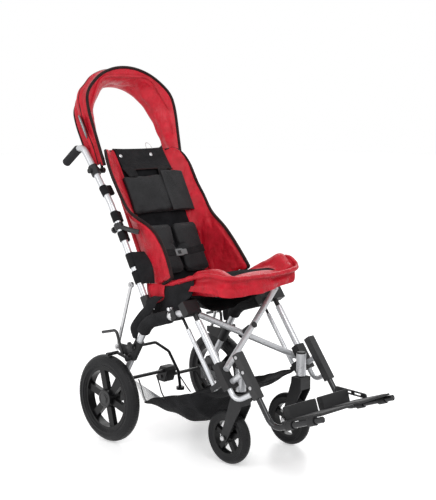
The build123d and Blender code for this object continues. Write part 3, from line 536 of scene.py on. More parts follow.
def piping(name, points, radius, material, closed=False):
    """A bound edge or a wire that follows points on a smooth line."""
    line = bpy.data.curves.new(name, "CURVE")
    line.dimensions = "3D"
    run = line.splines.new("NURBS")
    run.points.add(len(points) - 1)
    for spot, point in zip(run.points, points):
        spot.co = (*point, 1)
    run.order_u = 3
    run.use_endpoint_u = not closed
    run.use_cyclic_u = closed
    run.resolution_u = 6
    line.bevel_depth = radius
    line.bevel_resolution = 4
    line.use_fill_caps = True
    piece = bpy.data.objects.new(name, line)
    stage.collection.objects.link(piece)
    pick(piece)
    bpy.ops.object.convert(target="MESH")
    piece = bpy.context.object
    coat(piece, material)
    return shaded(piece)


def turned_piece(spot, axis, rings, material, sides=40):
    """A turned piece: a disc drawn out ring by ring along its axis, in millimetres."""
    radius, height = rings[0]
    bpy.ops.mesh.primitive_circle_add(vertices=sides, radius=radius / 1000, fill_type="NGON", location=(0, 0, 0))
    piece = bpy.context.object
    bpy.ops.object.mode_set(mode="EDIT")
    bpy.ops.mesh.select_all(action="SELECT")
    for next_radius, next_height in rings[1:]:
        bpy.ops.mesh.extrude_region_move(TRANSFORM_OT_translate={"value": (0, 0, (next_height - height) / 1000)})
        share = next_radius / radius
        bpy.ops.transform.resize(value=(share, share, 1), center_override=(0, 0, next_height / 1000))
        radius, height = next_radius, next_height
    bpy.ops.mesh.select_all(action="SELECT")
    bpy.ops.mesh.normals_make_consistent(inside=False)
    bpy.ops.object.mode_set(mode="OBJECT")
    stand(piece, spot, axis)
    coat(piece, material)
    return shaded(piece, 35)


def flat_block(spot, size, turn, bevel, material):
    """A bevelled block, in millimetres, turned by a matrix and set at a point."""
    bpy.ops.mesh.primitive_cube_add(size=1, location=(0, 0, 0))
    piece = bpy.context.object
    piece.data.transform(Matrix.Diagonal((*(length / 1000 for length in size), 1)))
    use(piece, "BEVEL", width=bevel / 1000, segments=3)
    piece.data.transform(Matrix.Translation(Vector(spot)) @ turn.to_4x4())
    coat(piece, material)
    return shaded(piece, 40)


def joined(name, pieces):
    """Several meshes as one piece."""
    pick(*pieces)
    bpy.ops.object.join()
    return named(name)


def copy_of(node_name, name):
    """A CAD piece's shape as a new piece, with its corners merged."""
    piece = bpy.data.objects.new(name, nodes[node_name].data.copy())
    stage.collection.objects.link(piece)
    piece.data.materials.clear()
    pick(piece)
    bpy.ops.object.mode_set(mode="EDIT")
    bpy.ops.mesh.select_all(action="SELECT")
    bpy.ops.mesh.remove_doubles(threshold=0.00005)
    bpy.ops.object.mode_set(mode="OBJECT")
    return piece


SWELL_FRAMES = 20
SWELL = {
    "quality": 6, "mass": 0.25, "tension_stiffness": 14, "compression_stiffness": 14, "bending_stiffness": 0.4,
    "use_pressure": True,
}


def stuffed(piece, voxel, pressure, cap, slack, material, smooth=4):
    """Fills a cover with wadding: its cloth swells under pressure, up to a cap."""
    use(piece, "REMESH", mode="VOXEL", voxel_size=voxel)
    use(piece, "SMOOTH", factor=0.5, iterations=smooth)
    rest = [point.co.copy() for point in piece.data.vertices]
    swell = piece.modifiers.new("swell", "CLOTH")
    for key, value in SWELL.items():
        setattr(swell.settings, key, value)
    swell.settings.shrink_min = -slack
    swell.settings.uniform_pressure_force = pressure
    swell.settings.effector_weights.gravity = 0
    swell.point_cache.frame_start = 1
    swell.point_cache.frame_end = SWELL_FRAMES
    for count in range(1, SWELL_FRAMES + 1):
        stage.frame_set(count)
    pick(piece)
    bpy.ops.object.modifier_apply(modifier=swell.name)
    for point, start in zip(piece.data.vertices, rest):
        moved = point.co - start
        if moved.length > cap:
            point.co = start + moved * (cap / moved.length)
    stage.frame_set(1)
    use(piece, "SUBSURF", levels=1, render_levels=1)
    coat(piece, material)
    return shaded(piece)


def soft(piece, slot, *stands_for, keep=FOLD_KEEP, body="seat"):
    """A soft piece rides on its body; the share of its width that it keeps as the frame folds is not used."""
    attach(piece, body)
    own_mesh(piece)
    if stands_for:
        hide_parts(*stands_for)
    return piece


of_seat = partial(soft, keep=SEAT_KEEP)
of_back = partial(soft, keep=BACK_KEEP)
on_canopy = partial(soft, keep=CANOPY_KEEP, body="canopy")


def fixed(piece, slot, *stands_for, body=None):
    """A piece that keeps its shape rides on its body, or else on the frame of the side in its name."""
    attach(piece, body or piece.name.split("_")[0] + "_side")
    if stands_for:
        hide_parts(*stands_for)
    return piece


def laid(name, mesh, surface, material, thickness, ride, slot, *stands_for, side="left", shaped=True, **cut):
    """A sheet with its ride; the cut that it is given is not used. One that isn't cut as a rectangle also works out
    its surface's area.
    """
    piece = cloth_sheet(name, *mesh, surface, material, thickness)
    if side == "right":
        flip(piece)
    ride(piece, slot, *stands_for)
    if shaped:
        cut["area"] = cloth_area(surface, *mesh)


# Canopy: bow, cover, lining and bound edges


def arch_line(ahead, lean, half):
    """A whole arch from the right foot over the top to the left foot."""
    tilt = radians(lean)
    line = [(-x, h) for x, h in half] + [(x, h) for x, h in reversed(half[:-1])]
    return [place(x, ahead - h * sin(tilt), CANOPY_FOOT_UP + h * cos(tilt)) for x, h in line]


cover_arches = [
    arch_line(-105, 16.8, [(176, 1), (187, 100), (196, 196), (185, 257), (126, 313), (62, 341), (0, 349)]),
    arch_line(-150, 19.0, [(176, 1), (188, 98), (198, 190), (187, 251), (128, 309), (62, 333), (0, 339)]),
    arch_line(-187, 21.5, [(173, 1), (181, 78), (187, 150), (177, 205), (118, 259), (60, 287), (0, 295)]),
]
lining_arches = [
    arch_line(-106, 16.8, [(173, 1), (184, 100), (193, 196), (182, 256), (124, 310), (62, 337), (0, 345)]),
    arch_line(-132, 15.0, [(152, 1), (162, 90), (166, 176), (140, 240), (104, 284), (56, 297), (0, 298)]),
    arch_line(-168, 19.5, [(166, 1), (158, 90), (130, 176), (104, 226), (70, 268), (40, 286), (0, 288)]),
    arch_line(-186, 21.5, [(170, 1), (177, 78), (172, 150), (150, 200), (100, 248), (52, 276), (0, 285)]),
]


def canopy_cover_at(u, v):
    """The outer cloth of the canopy, gathered at its feet."""
    spot = smooth_at([smooth_at(arch, u) for arch in cover_arches], v)
    rise = (spot.z - CANOPY_FOOT_UP / 1000) / 0.34
    outward = Vector((spot.x, 0, spot.z - 1.0)).normalized()
    border = min(v, 1 - v) * 4
    gather = 0.007 * sin(v * 2 * pi * 2.4 + u * 3) * exp(-rise * 1.5)
    swell = ripple(spot + Vector((3.1, 0, 0)), 14, 0.006) + ripple(spot, 31, 0.003)
    return spot + outward * ((gather + swell) * min(1.0, border) - 0.001)


def canopy_lining_at(u, v):
    """The inner cloth of the canopy, which hangs slack between the bow and its rear edge."""
    spot = smooth_at([smooth_at(arch, u) for arch in lining_arches], v)
    outward = Vector((spot.x, 0, spot.z - 1.0)).normalized()
    border = min(1.0, min(v, 1 - v) * 4)
    folds = ripple(spot + Vector((0, 7.7, 0)), 17, 0.012) + ripple(spot, 38, 0.005)
    slack = max(0.0, spot.x / 0.19) * max(0.0, min(1.0, (spot.z - 0.94) / 0.1))
    crumple = (0.0075 * sin(v * 2 * pi * 2.6 + u * 4) + 0.004 * sin(u * 2 * pi * 9 + v * 8)) * slack
    return spot + outward * (folds + crumple) * border * 0.8


bow = copy_of("canopy_bow", "canopy_spring_bow")
coat(bow, build_bow())
on_canopy(shaded(bow), "black_metal", "canopy_bow")
laid(
    "canopy_red_cover", (96, 22), canopy_cover_at, red_nylon, 0.0016, on_canopy, "red_fabric", "canopy_cover",
    flat=(0.96, 0.12), held="stretched", rests_on=["canopy_spring_bow"],
)
laid(
    "canopy_red_lining", (96, 22), canopy_lining_at, red_lining, 0.0016, on_canopy, "red_fabric",
    flat=(0.94, 0.147), held="stretched", rests_on=["canopy_spring_bow"],
)
for name, v, radius in (("front_binding", 0.0, 0.0052), ("rear_binding", 1.0, 0.0045), ("seam", 0.40, 0.0018)):
    line = [canopy_cover_at(i / 40, v) for i in range(41)]
    on_canopy(piping(f"canopy_{name}", line, radius, binding_tape), "black_fabric")

# Back: padded panel, top band with press studs, wings with bound edges

BACK_UP = Vector((0, 237.0, 459.0)).normalized()
BACK_OUT = Vector((0, -BACK_UP.z, BACK_UP.y))


def on_back(x, up, out):
    """A point on the back: across, up along it and out in front of it, in millimetres."""
    return place(x, 104, 505) + (BACK_UP * up + BACK_OUT * out) / 1000


def back_face(x, up):
    """How far the padded back stands out at a place."""
    high = max(0.0, (up - 400) / 117)
    middle, edge = 26 - 12 * high**1.5, 14 - 6 * high**1.5
    return -20 + middle - (middle - edge) * (x / 147) ** 2


back_cover = build_two_tone("back_cover", 0.110, -0.5)
back = stuffed(copy_of("back_pad", "back_two_tone_pad"), 0.006, 2.0, 0.0025, 0.01, back_cover)
of_back(back, "black_fabric", "back_pad")


def top_band_at(u, v):
    """The black band over the top of the back."""
    x = -110 + 220 * u
    up = 424 + 90 * v
    lift = 4.5 + 6 * (1 - v) ** 3 + 1.8 * sin(u * 9 + 0.6) * (1 - v)
    return on_back(x, up - 6 * sin(pi * u) * (v - 0.5), back_face(x, up) + lift)


laid(
    "back_top_band", (48, 14), top_band_at, black_canvas, 0.003, of_back, "black_fabric", shaped=False,
    flat=(0.224, 0.094), held="laid", rests_on=["back_two_tone_pad"],
)
hem_line = [top_band_at(i / 20, 0) for i in range(21)]
of_back(piping("top_band_hem", hem_line, 0.0022, binding_tape), "black_fabric")
crest_line = [on_back(-112 + 224 * i / 20, 512 - 4 * sin(pi * i / 20), -9) for i in range(21)]
of_back(piping("back_crest_binding", crest_line, 0.005, binding_tape), "black_fabric")
STUD = [(6.5, 0), (6.5, 1.6), (5.2, 2.8), (3.0, 3.2), (2.2, 2.4)]
for side, x, up in (("right", -96, 484), ("left", 38, 485)):
    spot = on_back(x, up, back_face(x, up) + 5.5)
    stud = turned_piece(spot, BACK_OUT, STUD, zinc_plate, 24)
    stud.name = f"{side}_press_stud"
    of_back(stud, "zinc")
WIRE = [(40, 505, -8), (42, 530, -12), (54, 541, -14), (66, 530, -12), (68, 505, -8)]
of_back(piping("hanger_wire", [on_back(*spot) for spot in WIRE], 0.0011, zinc_plate), "zinc")

# Up along the back, then across and out at the root, at the bend and at the bound edge
WING = [
    (-6, 132, -4, 160, 22, 177, 138), (40, 131, -6, 160, 20, 169, 135), (100, 129, -8, 158, 18, 160, 127),
    (150, 126, -9, 156, 12, 157, 113), (178, 122, -10, 154, 8, 157, 100), (206, 117, -11, 152, 4, 161, 82),
    (238, 112, -12, 148, 3, 172, 60), (270, 108, -13, 146, 4, 181, 46), (310, 107, -13, 144, 5, 184, 39),
    (350, 107, -13, 143, 4, 183, 32), (390, 107, -14, 143, 3, 184, 28), (430, 107, -14, 142, 2, 183, 26),
    (466, 107, -15, 140, -2, 177, 21), (490, 107, -16, 136, -7, 167, 14), (506, 108, -17, 130, -11, 154, 2),
]


def wing_at(u, v):
    """The middle of the left wing: u from the back to its bound edge, v from its foot to its top."""
    up, root_x, root_out, bend_x, bend_out, edge_x, edge_out = row_at(WING, v)
    near, middle, far = (1 - u) ** 2, 2 * u * (1 - u), u * u
    x = near * root_x + middle * bend_x + far * edge_x
    out = near * root_out + middle * bend_out + far * edge_out
    return on_back(x, up, out)


def wing_skin_at(u, v):
    """The left wing with an uneven skin, calmer at its bound edge."""
    spot = wing_at(u, v)
    swell = Vector((ripple(spot, 24, 0.003), 0, ripple(spot + Vector((5, 0, 0)), 31, 0.002)))
    return spot + swell * min(1.0, 4 * (1 - u))


wing_edge = [wing_at(i / 10, 0.0) for i in range(3, 10)]
wing_edge += [wing_at(1.0, i / 52) for i in range(53)]
wing_edge += [wing_at(1 - i / 6, 1.0) for i in range(1, 7)]
for side in SIDES:
    pad = cloth_sheet(f"{side}_red_wing", 30, 70, wing_skin_at, red_nylon, thickness=0.009, rounds=0)
    tape = piping(f"{side}_wing_binding", wing_edge, 0.0054, binding_tape)
    if side == "right":
        flip(pad, tape)
    stuffed(pad, 0.0045, 5.0, 0.005, 0.05, red_nylon, smooth=2)
    of_back(pad, "red_fabric", f"{side}_wing")
    of_back(tape, "black_fabric")

# Trunk wrap with its overlapping flap, and the hip belt with its buckle


def wrap_front(x):
    """How far the wrap's front stands out across the chest."""
    share = abs(x) / 137
    return 26 - 8 * share**3 + 2.2 * sin((x + 20) / 17) * exp(-(((x - 4) / 42) ** 2))


def wrap_at(u, v):
    """The middle of the wrap's padding."""
    x = -128 + 256 * u
    tuck = 3 * sin(pi * u)
    return on_back(x, 264 + 136 * v + tuck * (2 * v - 1), wrap_front(x) - 11)


wrap = cloth_sheet("trunk_wrap_pad", 40, 24, wrap_at, jersey, thickness=0.018, rounds=0)
stuffed(wrap, 0.005, 2.5, 0.004, 0.02, jersey, smooth=8)
of_back(wrap, "neoprene", "trunk_wrap")


def wrap_flap_at(u, v):
    """The free end of the wrap, pressed on to its front."""
    x = 30 + 108 * u
    up = 262 + 148 * v + 3 * sin(pi * u)
    lift = 2.4 + 1.2 * (1 - u) ** 2 + 1.0 * sin(v * 7 + 1) * (1 - u)
    return on_back(x, up, wrap_front(x) + lift)


laid(
    "trunk_wrap_flap", (36, 30), wrap_flap_at, jersey, 0.003, of_back, "neoprene", shaped=False,
    flat=(0.113, 0.150), held="laid", rests_on=["trunk_wrap_pad"],
)
wrap_hem_line = [on_back(x, 274 - 3 * cos(x / 88), wrap_front(x) + 0.6) for x in range(-122, 30, 4)]
of_back(piping("trunk_wrap_hem", wrap_hem_line, 0.0011, jersey), "neoprene")


def wrap_strap(name, x, lean):
    """A short folded strap from the wrap up to the top band."""
    def strap_at(u, v):
        across = x + 34 * (u - 0.5) + lean * v
        fold = 9 * sin(pi * v) * (0.4 + u) + 16 * (1 - v) ** 2
        return on_back(across, 396 + 44 * v, back_face(across, 420) + 7 + fold)

    laid(
        name, (12, 12), strap_at, webbing, 0.003, of_back, "black_fabric", shaped=False,
        flat=(0.036, 0.054), held="folded", rests_on=["trunk_wrap_pad"],
    )


wrap_strap("right_wrap_strap", -88, -8)
wrap_strap("left_wrap_strap", 40, 18)

belt = stuffed(copy_of("hip_belt", "hip_belt_pads"), 0.005, 3.0, 0.005, 0.03, jersey, smooth=3)
of_back(belt, "neoprene", "hip_belt")
belt_turn = Matrix((X_AXIS, BACK_UP, BACK_OUT)).transposed()
buckle_parts = [
    flat_block(on_back(-12, 108, 33), (34, 26, 8), belt_turn, 3, grey_plastic),
    flat_block(on_back(12, 108, 33), (22, 20, 6), belt_turn, 2, grey_plastic),
    flat_block(on_back(-14, 108, 37.5), (14, 12, 3), belt_turn, 1.4, black_nylon),
]
of_back(joined("hip_buckle", buckle_parts), "black_plastic")


def belt_strap(name, sign):
    """Webbing from the buckle over a hip pad."""
    def strap_at(u, v):
        x = sign * (20 + 90 * u)
        return on_back(x, 95 + 26 * v + 8 * u, 32.5 + 1.5 * sin(pi * u) - 14 * max(0, u - 0.85))

    laid(
        name, (24, 6), strap_at, webbing, 0.0018, of_back, "black_fabric", shaped=False,
        flat=(0.093, 0.026), held="laid", rests_on=["hip_belt_pads"],
    )


belt_strap("left_hip_strap", 1)
belt_strap("right_hip_strap", -1)

# Seat: padded cushion, drop panel, rolled edge, gussets and sling

seat_cover = build_two_tone("seat_cover", 0.0955, -0.150)
seat = stuffed(copy_of("seat_pad", "seat_red_cushion"), 0.006, 4.0, 0.006, 0.03, seat_cover, smooth=6)
of_seat(seat, "red_fabric", "seat_pad")

PANEL_TOP = [
    (-173, 312, 572), (-177, 390, 590), (-171, 440, 588), (-141, 465, 584), (-60, 469, 580),
    (60, 469, 580), (141, 465, 584), (171, 440, 588), (177, 390, 590), (173, 312, 572),
]
PANEL_DROP = [(40,), (54,), (58,), (56,), (52,), (48,), (42,), (38,), (32,), (22,)]


def curl(x, ahead):
    """How far the seat's left front corner curls up."""
    side = min(1.0, max(0.0, (x - 80) / 80))
    return 24 * side * side * (3 - 2 * side) * exp(-(((ahead - 394) / 46) ** 2))


for point in seat.data.vertices:
    point.co.z += curl(point.co.x * 1000, AXLE_Y - point.co.y * 1000) / 1000


def panel_at(u, v):
    """The red cloth that hangs from the seat's edge in soft folds."""
    top = smooth_at(PANEL_TOP, u)
    drop = row_at(PANEL_DROP, u)[0]
    ahead_of = smooth_at(PANEL_TOP, min(1, u + 0.004)) - smooth_at(PANEL_TOP, max(0, u - 0.004))
    outward = Vector((-ahead_of.y, ahead_of.x, 0)).normalized()
    fold = (4.0 * sin(u * 31) + 3.0 * sin(u * 57 + 1.1)) * v * v + 5.0 * sin(v * 7 - u * 16) * v * (1 - v) * 2
    tuck = -9 * sin(pi * min(1.0, v * 1.6)) * (0.75 + 0.25 * sin(u * 23)) + 7 * v * v
    under = 24 * v * min(1.0, max(0.0, (u - 0.52) / 0.16))
    spot = Vector(top) + outward * (fold + tuck - 1 - under)
    return place(spot.x, spot.y, spot.z + curl(top.x, top.y) - drop * v)


laid(
    "seat_drop_panel", (120, 16), panel_at, red_nylon, 0.0016, of_seat, "red_fabric",
    flat=(0.64, 0.065), held="hung", rests_on=["seat_red_cushion"],
)
panel_hem = [panel_at(i / 110, 1.0) for i in range(111)]
of_seat(piping("seat_panel_hem", panel_hem, 0.0016, red_nylon), "red_fabric")
ROLL = [(-158, 176, 536), (-167, 240, 549)] + PANEL_TOP + [(167, 240, 549), (158, 176, 536)]
roll_line = [smooth_at(ROLL, i / 80) for i in range(81)]
roll_line = [place(spot.x * 1.012, spot.y, spot.z - 1 + curl(spot.x, spot.y)) for spot in roll_line]
roll = piping("seat_roll_edge", roll_line, 0.0075, red_nylon)
for point in roll.data.vertices:
    point.co += point.normal * (ripple(point.co, 40, 0.0022) + ripple(point.co, 90, 0.001))
of_seat(roll, "red_fabric")


def gusset_at(u, v):
    """Black cloth at the side of the cushion, from under its roll down to the rail."""
    top = smooth_at([(163, 172, 530), (171, 250, 546), (176, 330, 568)], u)
    low = smooth_at([(183, 172, 440), (185, 250, 464), (178, 322, 520)], u)
    spot = top.lerp(low, v)
    return place(spot.x + 4 * sin(pi * v) * sin(u * 6), spot.y, spot.z)


for side in SIDES:
    laid(
        f"{side}_seat_gusset", (24, 18), gusset_at, black_canvas, 0.002, of_seat, "black_fabric", side=side,
        flat=(0.174, 0.093), held="stretched", rests_on=[f"{side}_rail_cover"],
    )


def sling_at(u, v):
    """The black sling under the cushion, with flaps down to the rails."""
    ahead = 140 + 190 * v
    low = 494 + (ahead - 140) * 0.088
    rail = 418 + (ahead - 148) * RAIL_SLOPE
    narrow = max(0.0, (ahead - 238) / 92)
    end = rail + (low - 6 - rail) * narrow
    half = 186 - 26 * narrow
    sag = 10 + 36 * v
    line = [
        (-half, 0, end), (-158, 0, low - 10), (-100, 0, low - 4 - sag), (-20, 0, low - 6 - sag),
        (90, 0, low - 4 - sag * 0.5), (158, 0, low - 10), (half, 0, end),
    ]
    spot = smooth_at(line, u)
    return place(spot.x, ahead, spot.z + ripple(Vector((u * 3, v * 2, 0)), 3, 5))


laid(
    "seat_black_sling", (60, 24), sling_at, black_canvas, 0.0022, of_seat, "black_fabric", "seat_sling",
    flat=(0.47, 0.217), held="stretched", rests_on=both("rail_cover"),
)

# Basket: hanging cloth, bound rim, end ties and nets

# Ahead, then half the width, the rim's height and the lowest height there
BASKET = [
    (58, 150, 118, 103), (140, 172, 152, 84), (240, 172, 178, 68), (300, 166, 194, 92), (350, 160, 212, 178),
    (420, 150, 238, 202), (466, 140, 250, 236),
]


def basket_at(u, v):
    """The hanging cloth of the basket."""
    ahead = 58 + 408 * v
    near, far = next(pair for pair in zip(BASKET, BASKET[1:]) if pair[0][0] <= ahead <= pair[1][0] + 0.001)
    share = (ahead - near[0]) / (far[0] - near[0])
    share = share * share * (3 - 2 * share) * 0.5 + share * 0.5
    half, rim, low = (n + (f - n) * share for n, f in zip(near[1:], far[1:]))
    depth = abs(2 * u - 1)
    rise = (rim - low) * (0.25 * depth**2 + 0.75 * depth**5)
    sag = ripple(Vector((u * 4, v * 5, 1.3)), 1.6, 7) * sin(pi * u) ** 0.5 if 0 < u < 1 else 0
    return place((2 * u - 1) * half, ahead, low + 2 + rise + max(sag, -3))


laid(
    "basket_black_cloth", (64, 64), basket_at, black_canvas, 0.002, soft, "black_fabric", "basket",
    flat=(0.445, 0.484), held="hung", rests_on=both("rear_axle"),
)
rim_line = [basket_at(0.0, i / 30) for i in range(31)] + [basket_at(i / 16, 1.0) for i in range(1, 17)]
rim_line += [basket_at(1.0, 1 - i / 30) for i in range(1, 31)] + [basket_at(1 - i / 16, 0.0) for i in range(1, 16)]
soft(piping("basket_rim_binding", rim_line, 0.003, webbing, closed=True), "black_fabric")
for side, sign, bar_up in (("left", 1, 174), ("right", -1, 198)):
    ties = []
    for x in (sign * 60, sign * 140):
        low, top = place(x, 60, 117), place(x, (bar_up - 160) * 0.625 - 10.7 + 4, bar_up - 8)
        ties.append(piping("tie", [low, place(x, 44, 128), top.lerp(low, 0.35), top], 0.0022, webbing))
    soft(joined(f"{side}_basket_ties", ties), "black_fabric")

for side, sign in (("left", 1), ("right", -1)):
    def net_at(u, v):
        """The net from the basket's rim up to the rear axle's bar."""
        low = basket_at(0.0 if sign < 0 else 1.0, 0.30 * u)
        high = place(sign * 150, 10, 186).lerp(place(sign * 172, 172, 160), u)
        return low.lerp(high, v)

    net = grid(f"{side}_basket_net", 26, 14, net_at)
    coat(net, grey_net)
    use(net, "WIREFRAME", thickness=0.0011, use_replace=True)
    soft(net, "black_fabric")

# Side frames: padded rail covers, webbing bands, side panels and rear straps

for side in SIDES:
    cover = copy_of(f"{side}_rail_cover", f"{side}_rail_padding")
    stuffed(cover, 0.0045, 3.0, 0.005, 0.05, black_canvas, smooth=2)
    fixed(cover, "black_fabric", f"{side}_rail_cover")

PUSH_LOW = Vector((0, 182.0, 321.0)).normalized()
PUSH_HIGH = Vector((0, 150.0, 189.0)).normalized()


def push_ahead(height):
    """How far ahead the middle of a push tube is at a height."""
    if height < PUSH_BEND_UP:
        return 137 - 182 * (height - 464) / 321
    return -45 - 150 * (height - PUSH_BEND_UP) / 189


BANDS = ((824, 36), (742, 36), (680, 34), (604, 50), (552, 44))
BAND_TURNS = (0.62, 1.1, 1.57, 2.1, 2.62, pi, 3.67, 4.19, 4.71, 5.18, 5.66)
BAND_RADIUS = 12.9


def band(height, wide):
    """A loop of webbing round the left push tube and on to the root of the wing."""
    along = PUSH_HIGH if height > PUSH_BEND_UP else PUSH_LOW
    normal = X_AXIS.cross(along)
    middle = place(PUSH_X, push_ahead(height), height)
    up = (middle - on_back(PUSH_X, 0, 0)).dot(BACK_UP) * 1000
    sewn = on_back(168.5, up, -9) - middle
    x, y = sewn.x * 1000, sewn.dot(normal) * 1000
    turns = [(x, y + 1.4, 0), (x * 0.7 - 3, y * 0.6 + 5, 0)]
    turns += [(-BAND_RADIUS * cos(turn), BAND_RADIUS * sin(turn), 0) for turn in BAND_TURNS]
    turns += [(x * 0.7 - 3, y * 0.6 - 5, 0), (x, y - 1.4, 0)]

    def band_at(u, v):
        spot = smooth_at(turns, u)
        lift = (v - 0.5) * wide / 1000
        return middle + Vector((spot.x / 1000, 0, 0)) + normal * (spot.y / 1000) + along * lift

    return cloth_sheet("band", 60, 5, band_at, webbing, thickness=0.0022)


for side in SIDES:
    loops = joined(f"{side}_webbing_bands", [band(height, wide) for height, wide in BANDS])
    if side == "right":
        flip(loops)
    fixed(loops, "black_fabric", f"{side}_back_straps")


def side_panel_at(u, v):
    """Black cloth from the push tube to the outside of the left wing."""
    height = 532 + 98 * v
    tube = place(PUSH_X + 4, push_ahead(height) + 14, height + 4)
    wing = wing_at(0.46 + 0.14 * sin(pi * v), (0.5 + 2.0 * v) / 14) + Vector((0.010, 0, 0))
    fold = 0.004 * sin(pi * u) * sin(v * 13)
    return tube.lerp(wing, u) + Vector((0.007 * sin(pi * u) + fold, 0, 0))


def side_flap_at(u, v):
    """Red cloth below the panel, down to the rail."""
    top = place(172, 100, 532).lerp(place(166, 186, 536), u)
    low = place(174, 124, 462).lerp(place(172, 192, 486), u)
    return top.lerp(low, v) + Vector((0.005 * sin(pi * v) + 0.003 * sin(u * 9), 0, 0))


# Across, then ahead and up at the rear and at the front edge, from the seat down to the brake
REAR_STRAP = [
    (188, 155, 498, 203, 501), (206, 140, 486, 190, 484), (214, 143, 470, 187, 466), (214, 106, 437, 145, 426),
    (214, 66, 389, 110, 379), (210, 74, 352, 94, 350),
]


def rear_strap_at(u, v):
    """Black cloth from the seat's side down the outside of the left rear leg."""
    across, rear_ahead, rear_up, front_ahead, front_up = row_at(REAR_STRAP, v)
    x = across + 3 * sin(pi * u)
    return place(x, rear_ahead, rear_up).lerp(place(x, front_ahead, front_up), u)


def tyre_bead(radius):
    """A raised ring on the outer wall of the left rear tyre."""
    hub = place(276.4, 0, WHEEL_UP)
    ring = [hub + Vector((0, cos(i * 2 * pi / 72), sin(i * 2 * pi / 72))) * radius for i in range(72)]
    return piping("bead", ring, 0.0016, rear_rubber, closed=True)


for side in SIDES:
    laid(
        f"{side}_side_panel", (20, 28), side_panel_at, black_canvas, 0.0024, soft, "black_fabric", side=side,
        flat=(0.056, 0.124), held="stretched", rests_on=[f"{side}_red_wing"],
    )
    laid(
        f"{side}_side_flap", (18, 18), side_flap_at, red_nylon, 0.002, of_seat, "red_fabric", side=side,
        flat=(0.089, 0.075), held="stretched", rests_on=[f"{side}_rail_cover"],
    )

for side in SIDES:
    laid(
        f"{side}_rear_strap", (10, 40), rear_strap_at, black_canvas, 0.0024, fixed, "black_fabric", side=side,
        flat=(0.05, 0.197), held="stretched", rests_on=[f"{side}_rail_padding"],
    )
    beads = joined(f"{side}_tyre_beads", [tyre_bead(0.112), tyre_bead(0.124)])
    if side == "right":
        flip(beads)
    fixed(beads, "tyre", body=f"{side}_rear_wheel")

# Small fittings


def lobed_knob(spot, axis, radius, lobes, depth, material):
    """A hand knob with lobes round its rim."""
    bpy.ops.mesh.primitive_cylinder_add(vertices=lobes * 12, radius=1, depth=1, location=(0, 0, 0.5))
    piece = bpy.context.object
    bpy.ops.object.transform_apply(location=True, rotation=False, scale=False)
    for point in piece.data.vertices:
        x, y, z = point.co
        angle = Vector((1, 0)).angle_signed(Vector((x, y)))
        reach = radius * (1 + 0.16 * cos(lobes * angle)) / 1000
        point.co = Vector((x * reach, y * reach, z * depth / 1000))
    use(piece, "BEVEL", width=0.0022, segments=3, limit_method="ANGLE", angle_limit=radians(50))
    stand(piece, spot, axis)
    coat(piece, material)
    return shaded(piece, 40)


LEG_LEAN, FOOT_LEAN = radians(36), radians(20)
LEG_UP = Vector((0, sin(LEG_LEAN), cos(LEG_LEAN)))
LEG_OUT = Vector((0, -cos(LEG_LEAN), sin(LEG_LEAN)))


def on_leg(x, up, out):
    """A point by the front leg: across, up along it and out in front of it, in millimetres."""
    return place(x, 457, 304) + (LEG_UP * up + LEG_OUT * out) / 1000


FOOT_BEND = on_leg(165, -233, 74)
FOOT_AHEAD = Vector((0, -cos(FOOT_LEAN), sin(FOOT_LEAN)))
FOOT_NORMAL = Vector((0, sin(FOOT_LEAN), cos(FOOT_LEAN)))
RAIL_ALONG = Vector((0, -1, RAIL_SLOPE)).normalized()
RAIL_TOP = -X_AXIS.cross(RAIL_ALONG)
PUSH_FRONT = PUSH_LOW.cross(-X_AXIS)
RIB_PITCH = 9


def footplate_mat_at(u, v):
    """Ribbed rubber on the left half footplate."""
    ahead = 62 + 126 * v
    rib = 0.5 + 0.5 * sin(ahead * 2 * pi / RIB_PITCH)
    spot = FOOT_BEND + (FOOT_AHEAD * ahead + FOOT_NORMAL * (16.5 + 0.9 * min(1.0, rib * 1.6))) / 1000
    return Vector((spot.x - (14 + 122 * u) / 1000, spot.y, spot.z))


# Radius and height of each ring of the turned fittings, in millimetres
KNOB_STEM = [(9, 0), (9, 3), (6, 4), (6, 9)]
KNOB_CAP = [(8, 0), (8, 1.2), (6.5, 2), (2, 2.2)]
COLLAR = [(14.5, 0), (16, 1.5), (16, 20.5), (14.5, 22)]
ARM_BOLT = [(7, 0), (7, 9), (11, 10), (11, 19), (9.5, 21), (3, 21.5)]
CLAMP_RING = [(11.3, 0), (15.5, 0.1), (16.2, 1), (16.2, 17), (15.5, 18), (11.3, 18.1)]
CLAMP_SCREW = [(4.5, 0), (5.4, 1), (5.4, 4), (3, 4.2), (3, 18), (6.2, 18.2), (6.2, 22), (4.5, 23)]
HUB_CAP = [
    (28.5, 0), (28.5, 1.8), (26.5, 3), (23, 3), (22, 1.6), (17.5, 1.6), (16.5, 3.4), (10.5, 3.8), (9.5, 2.2),
    (5.6, 2.2),
]
CASTER_CAP = [(15.5, 0), (15.5, 2.5), (13.5, 5), (8, 6.4), (2, 6.8)]
NUT = [(8.4, -3.8), (8.4, 0.6), (7.2, 1.8), (5.6, 1.8), (4.6, 3.4), (1.5, 4.2)]
CHANNEL_BOLT = [(5.5, 0), (5.5, 2.4), (4.2, 3.6), (2.4, 3.6), (2.2, 2.2)]
ARM_UP = 711


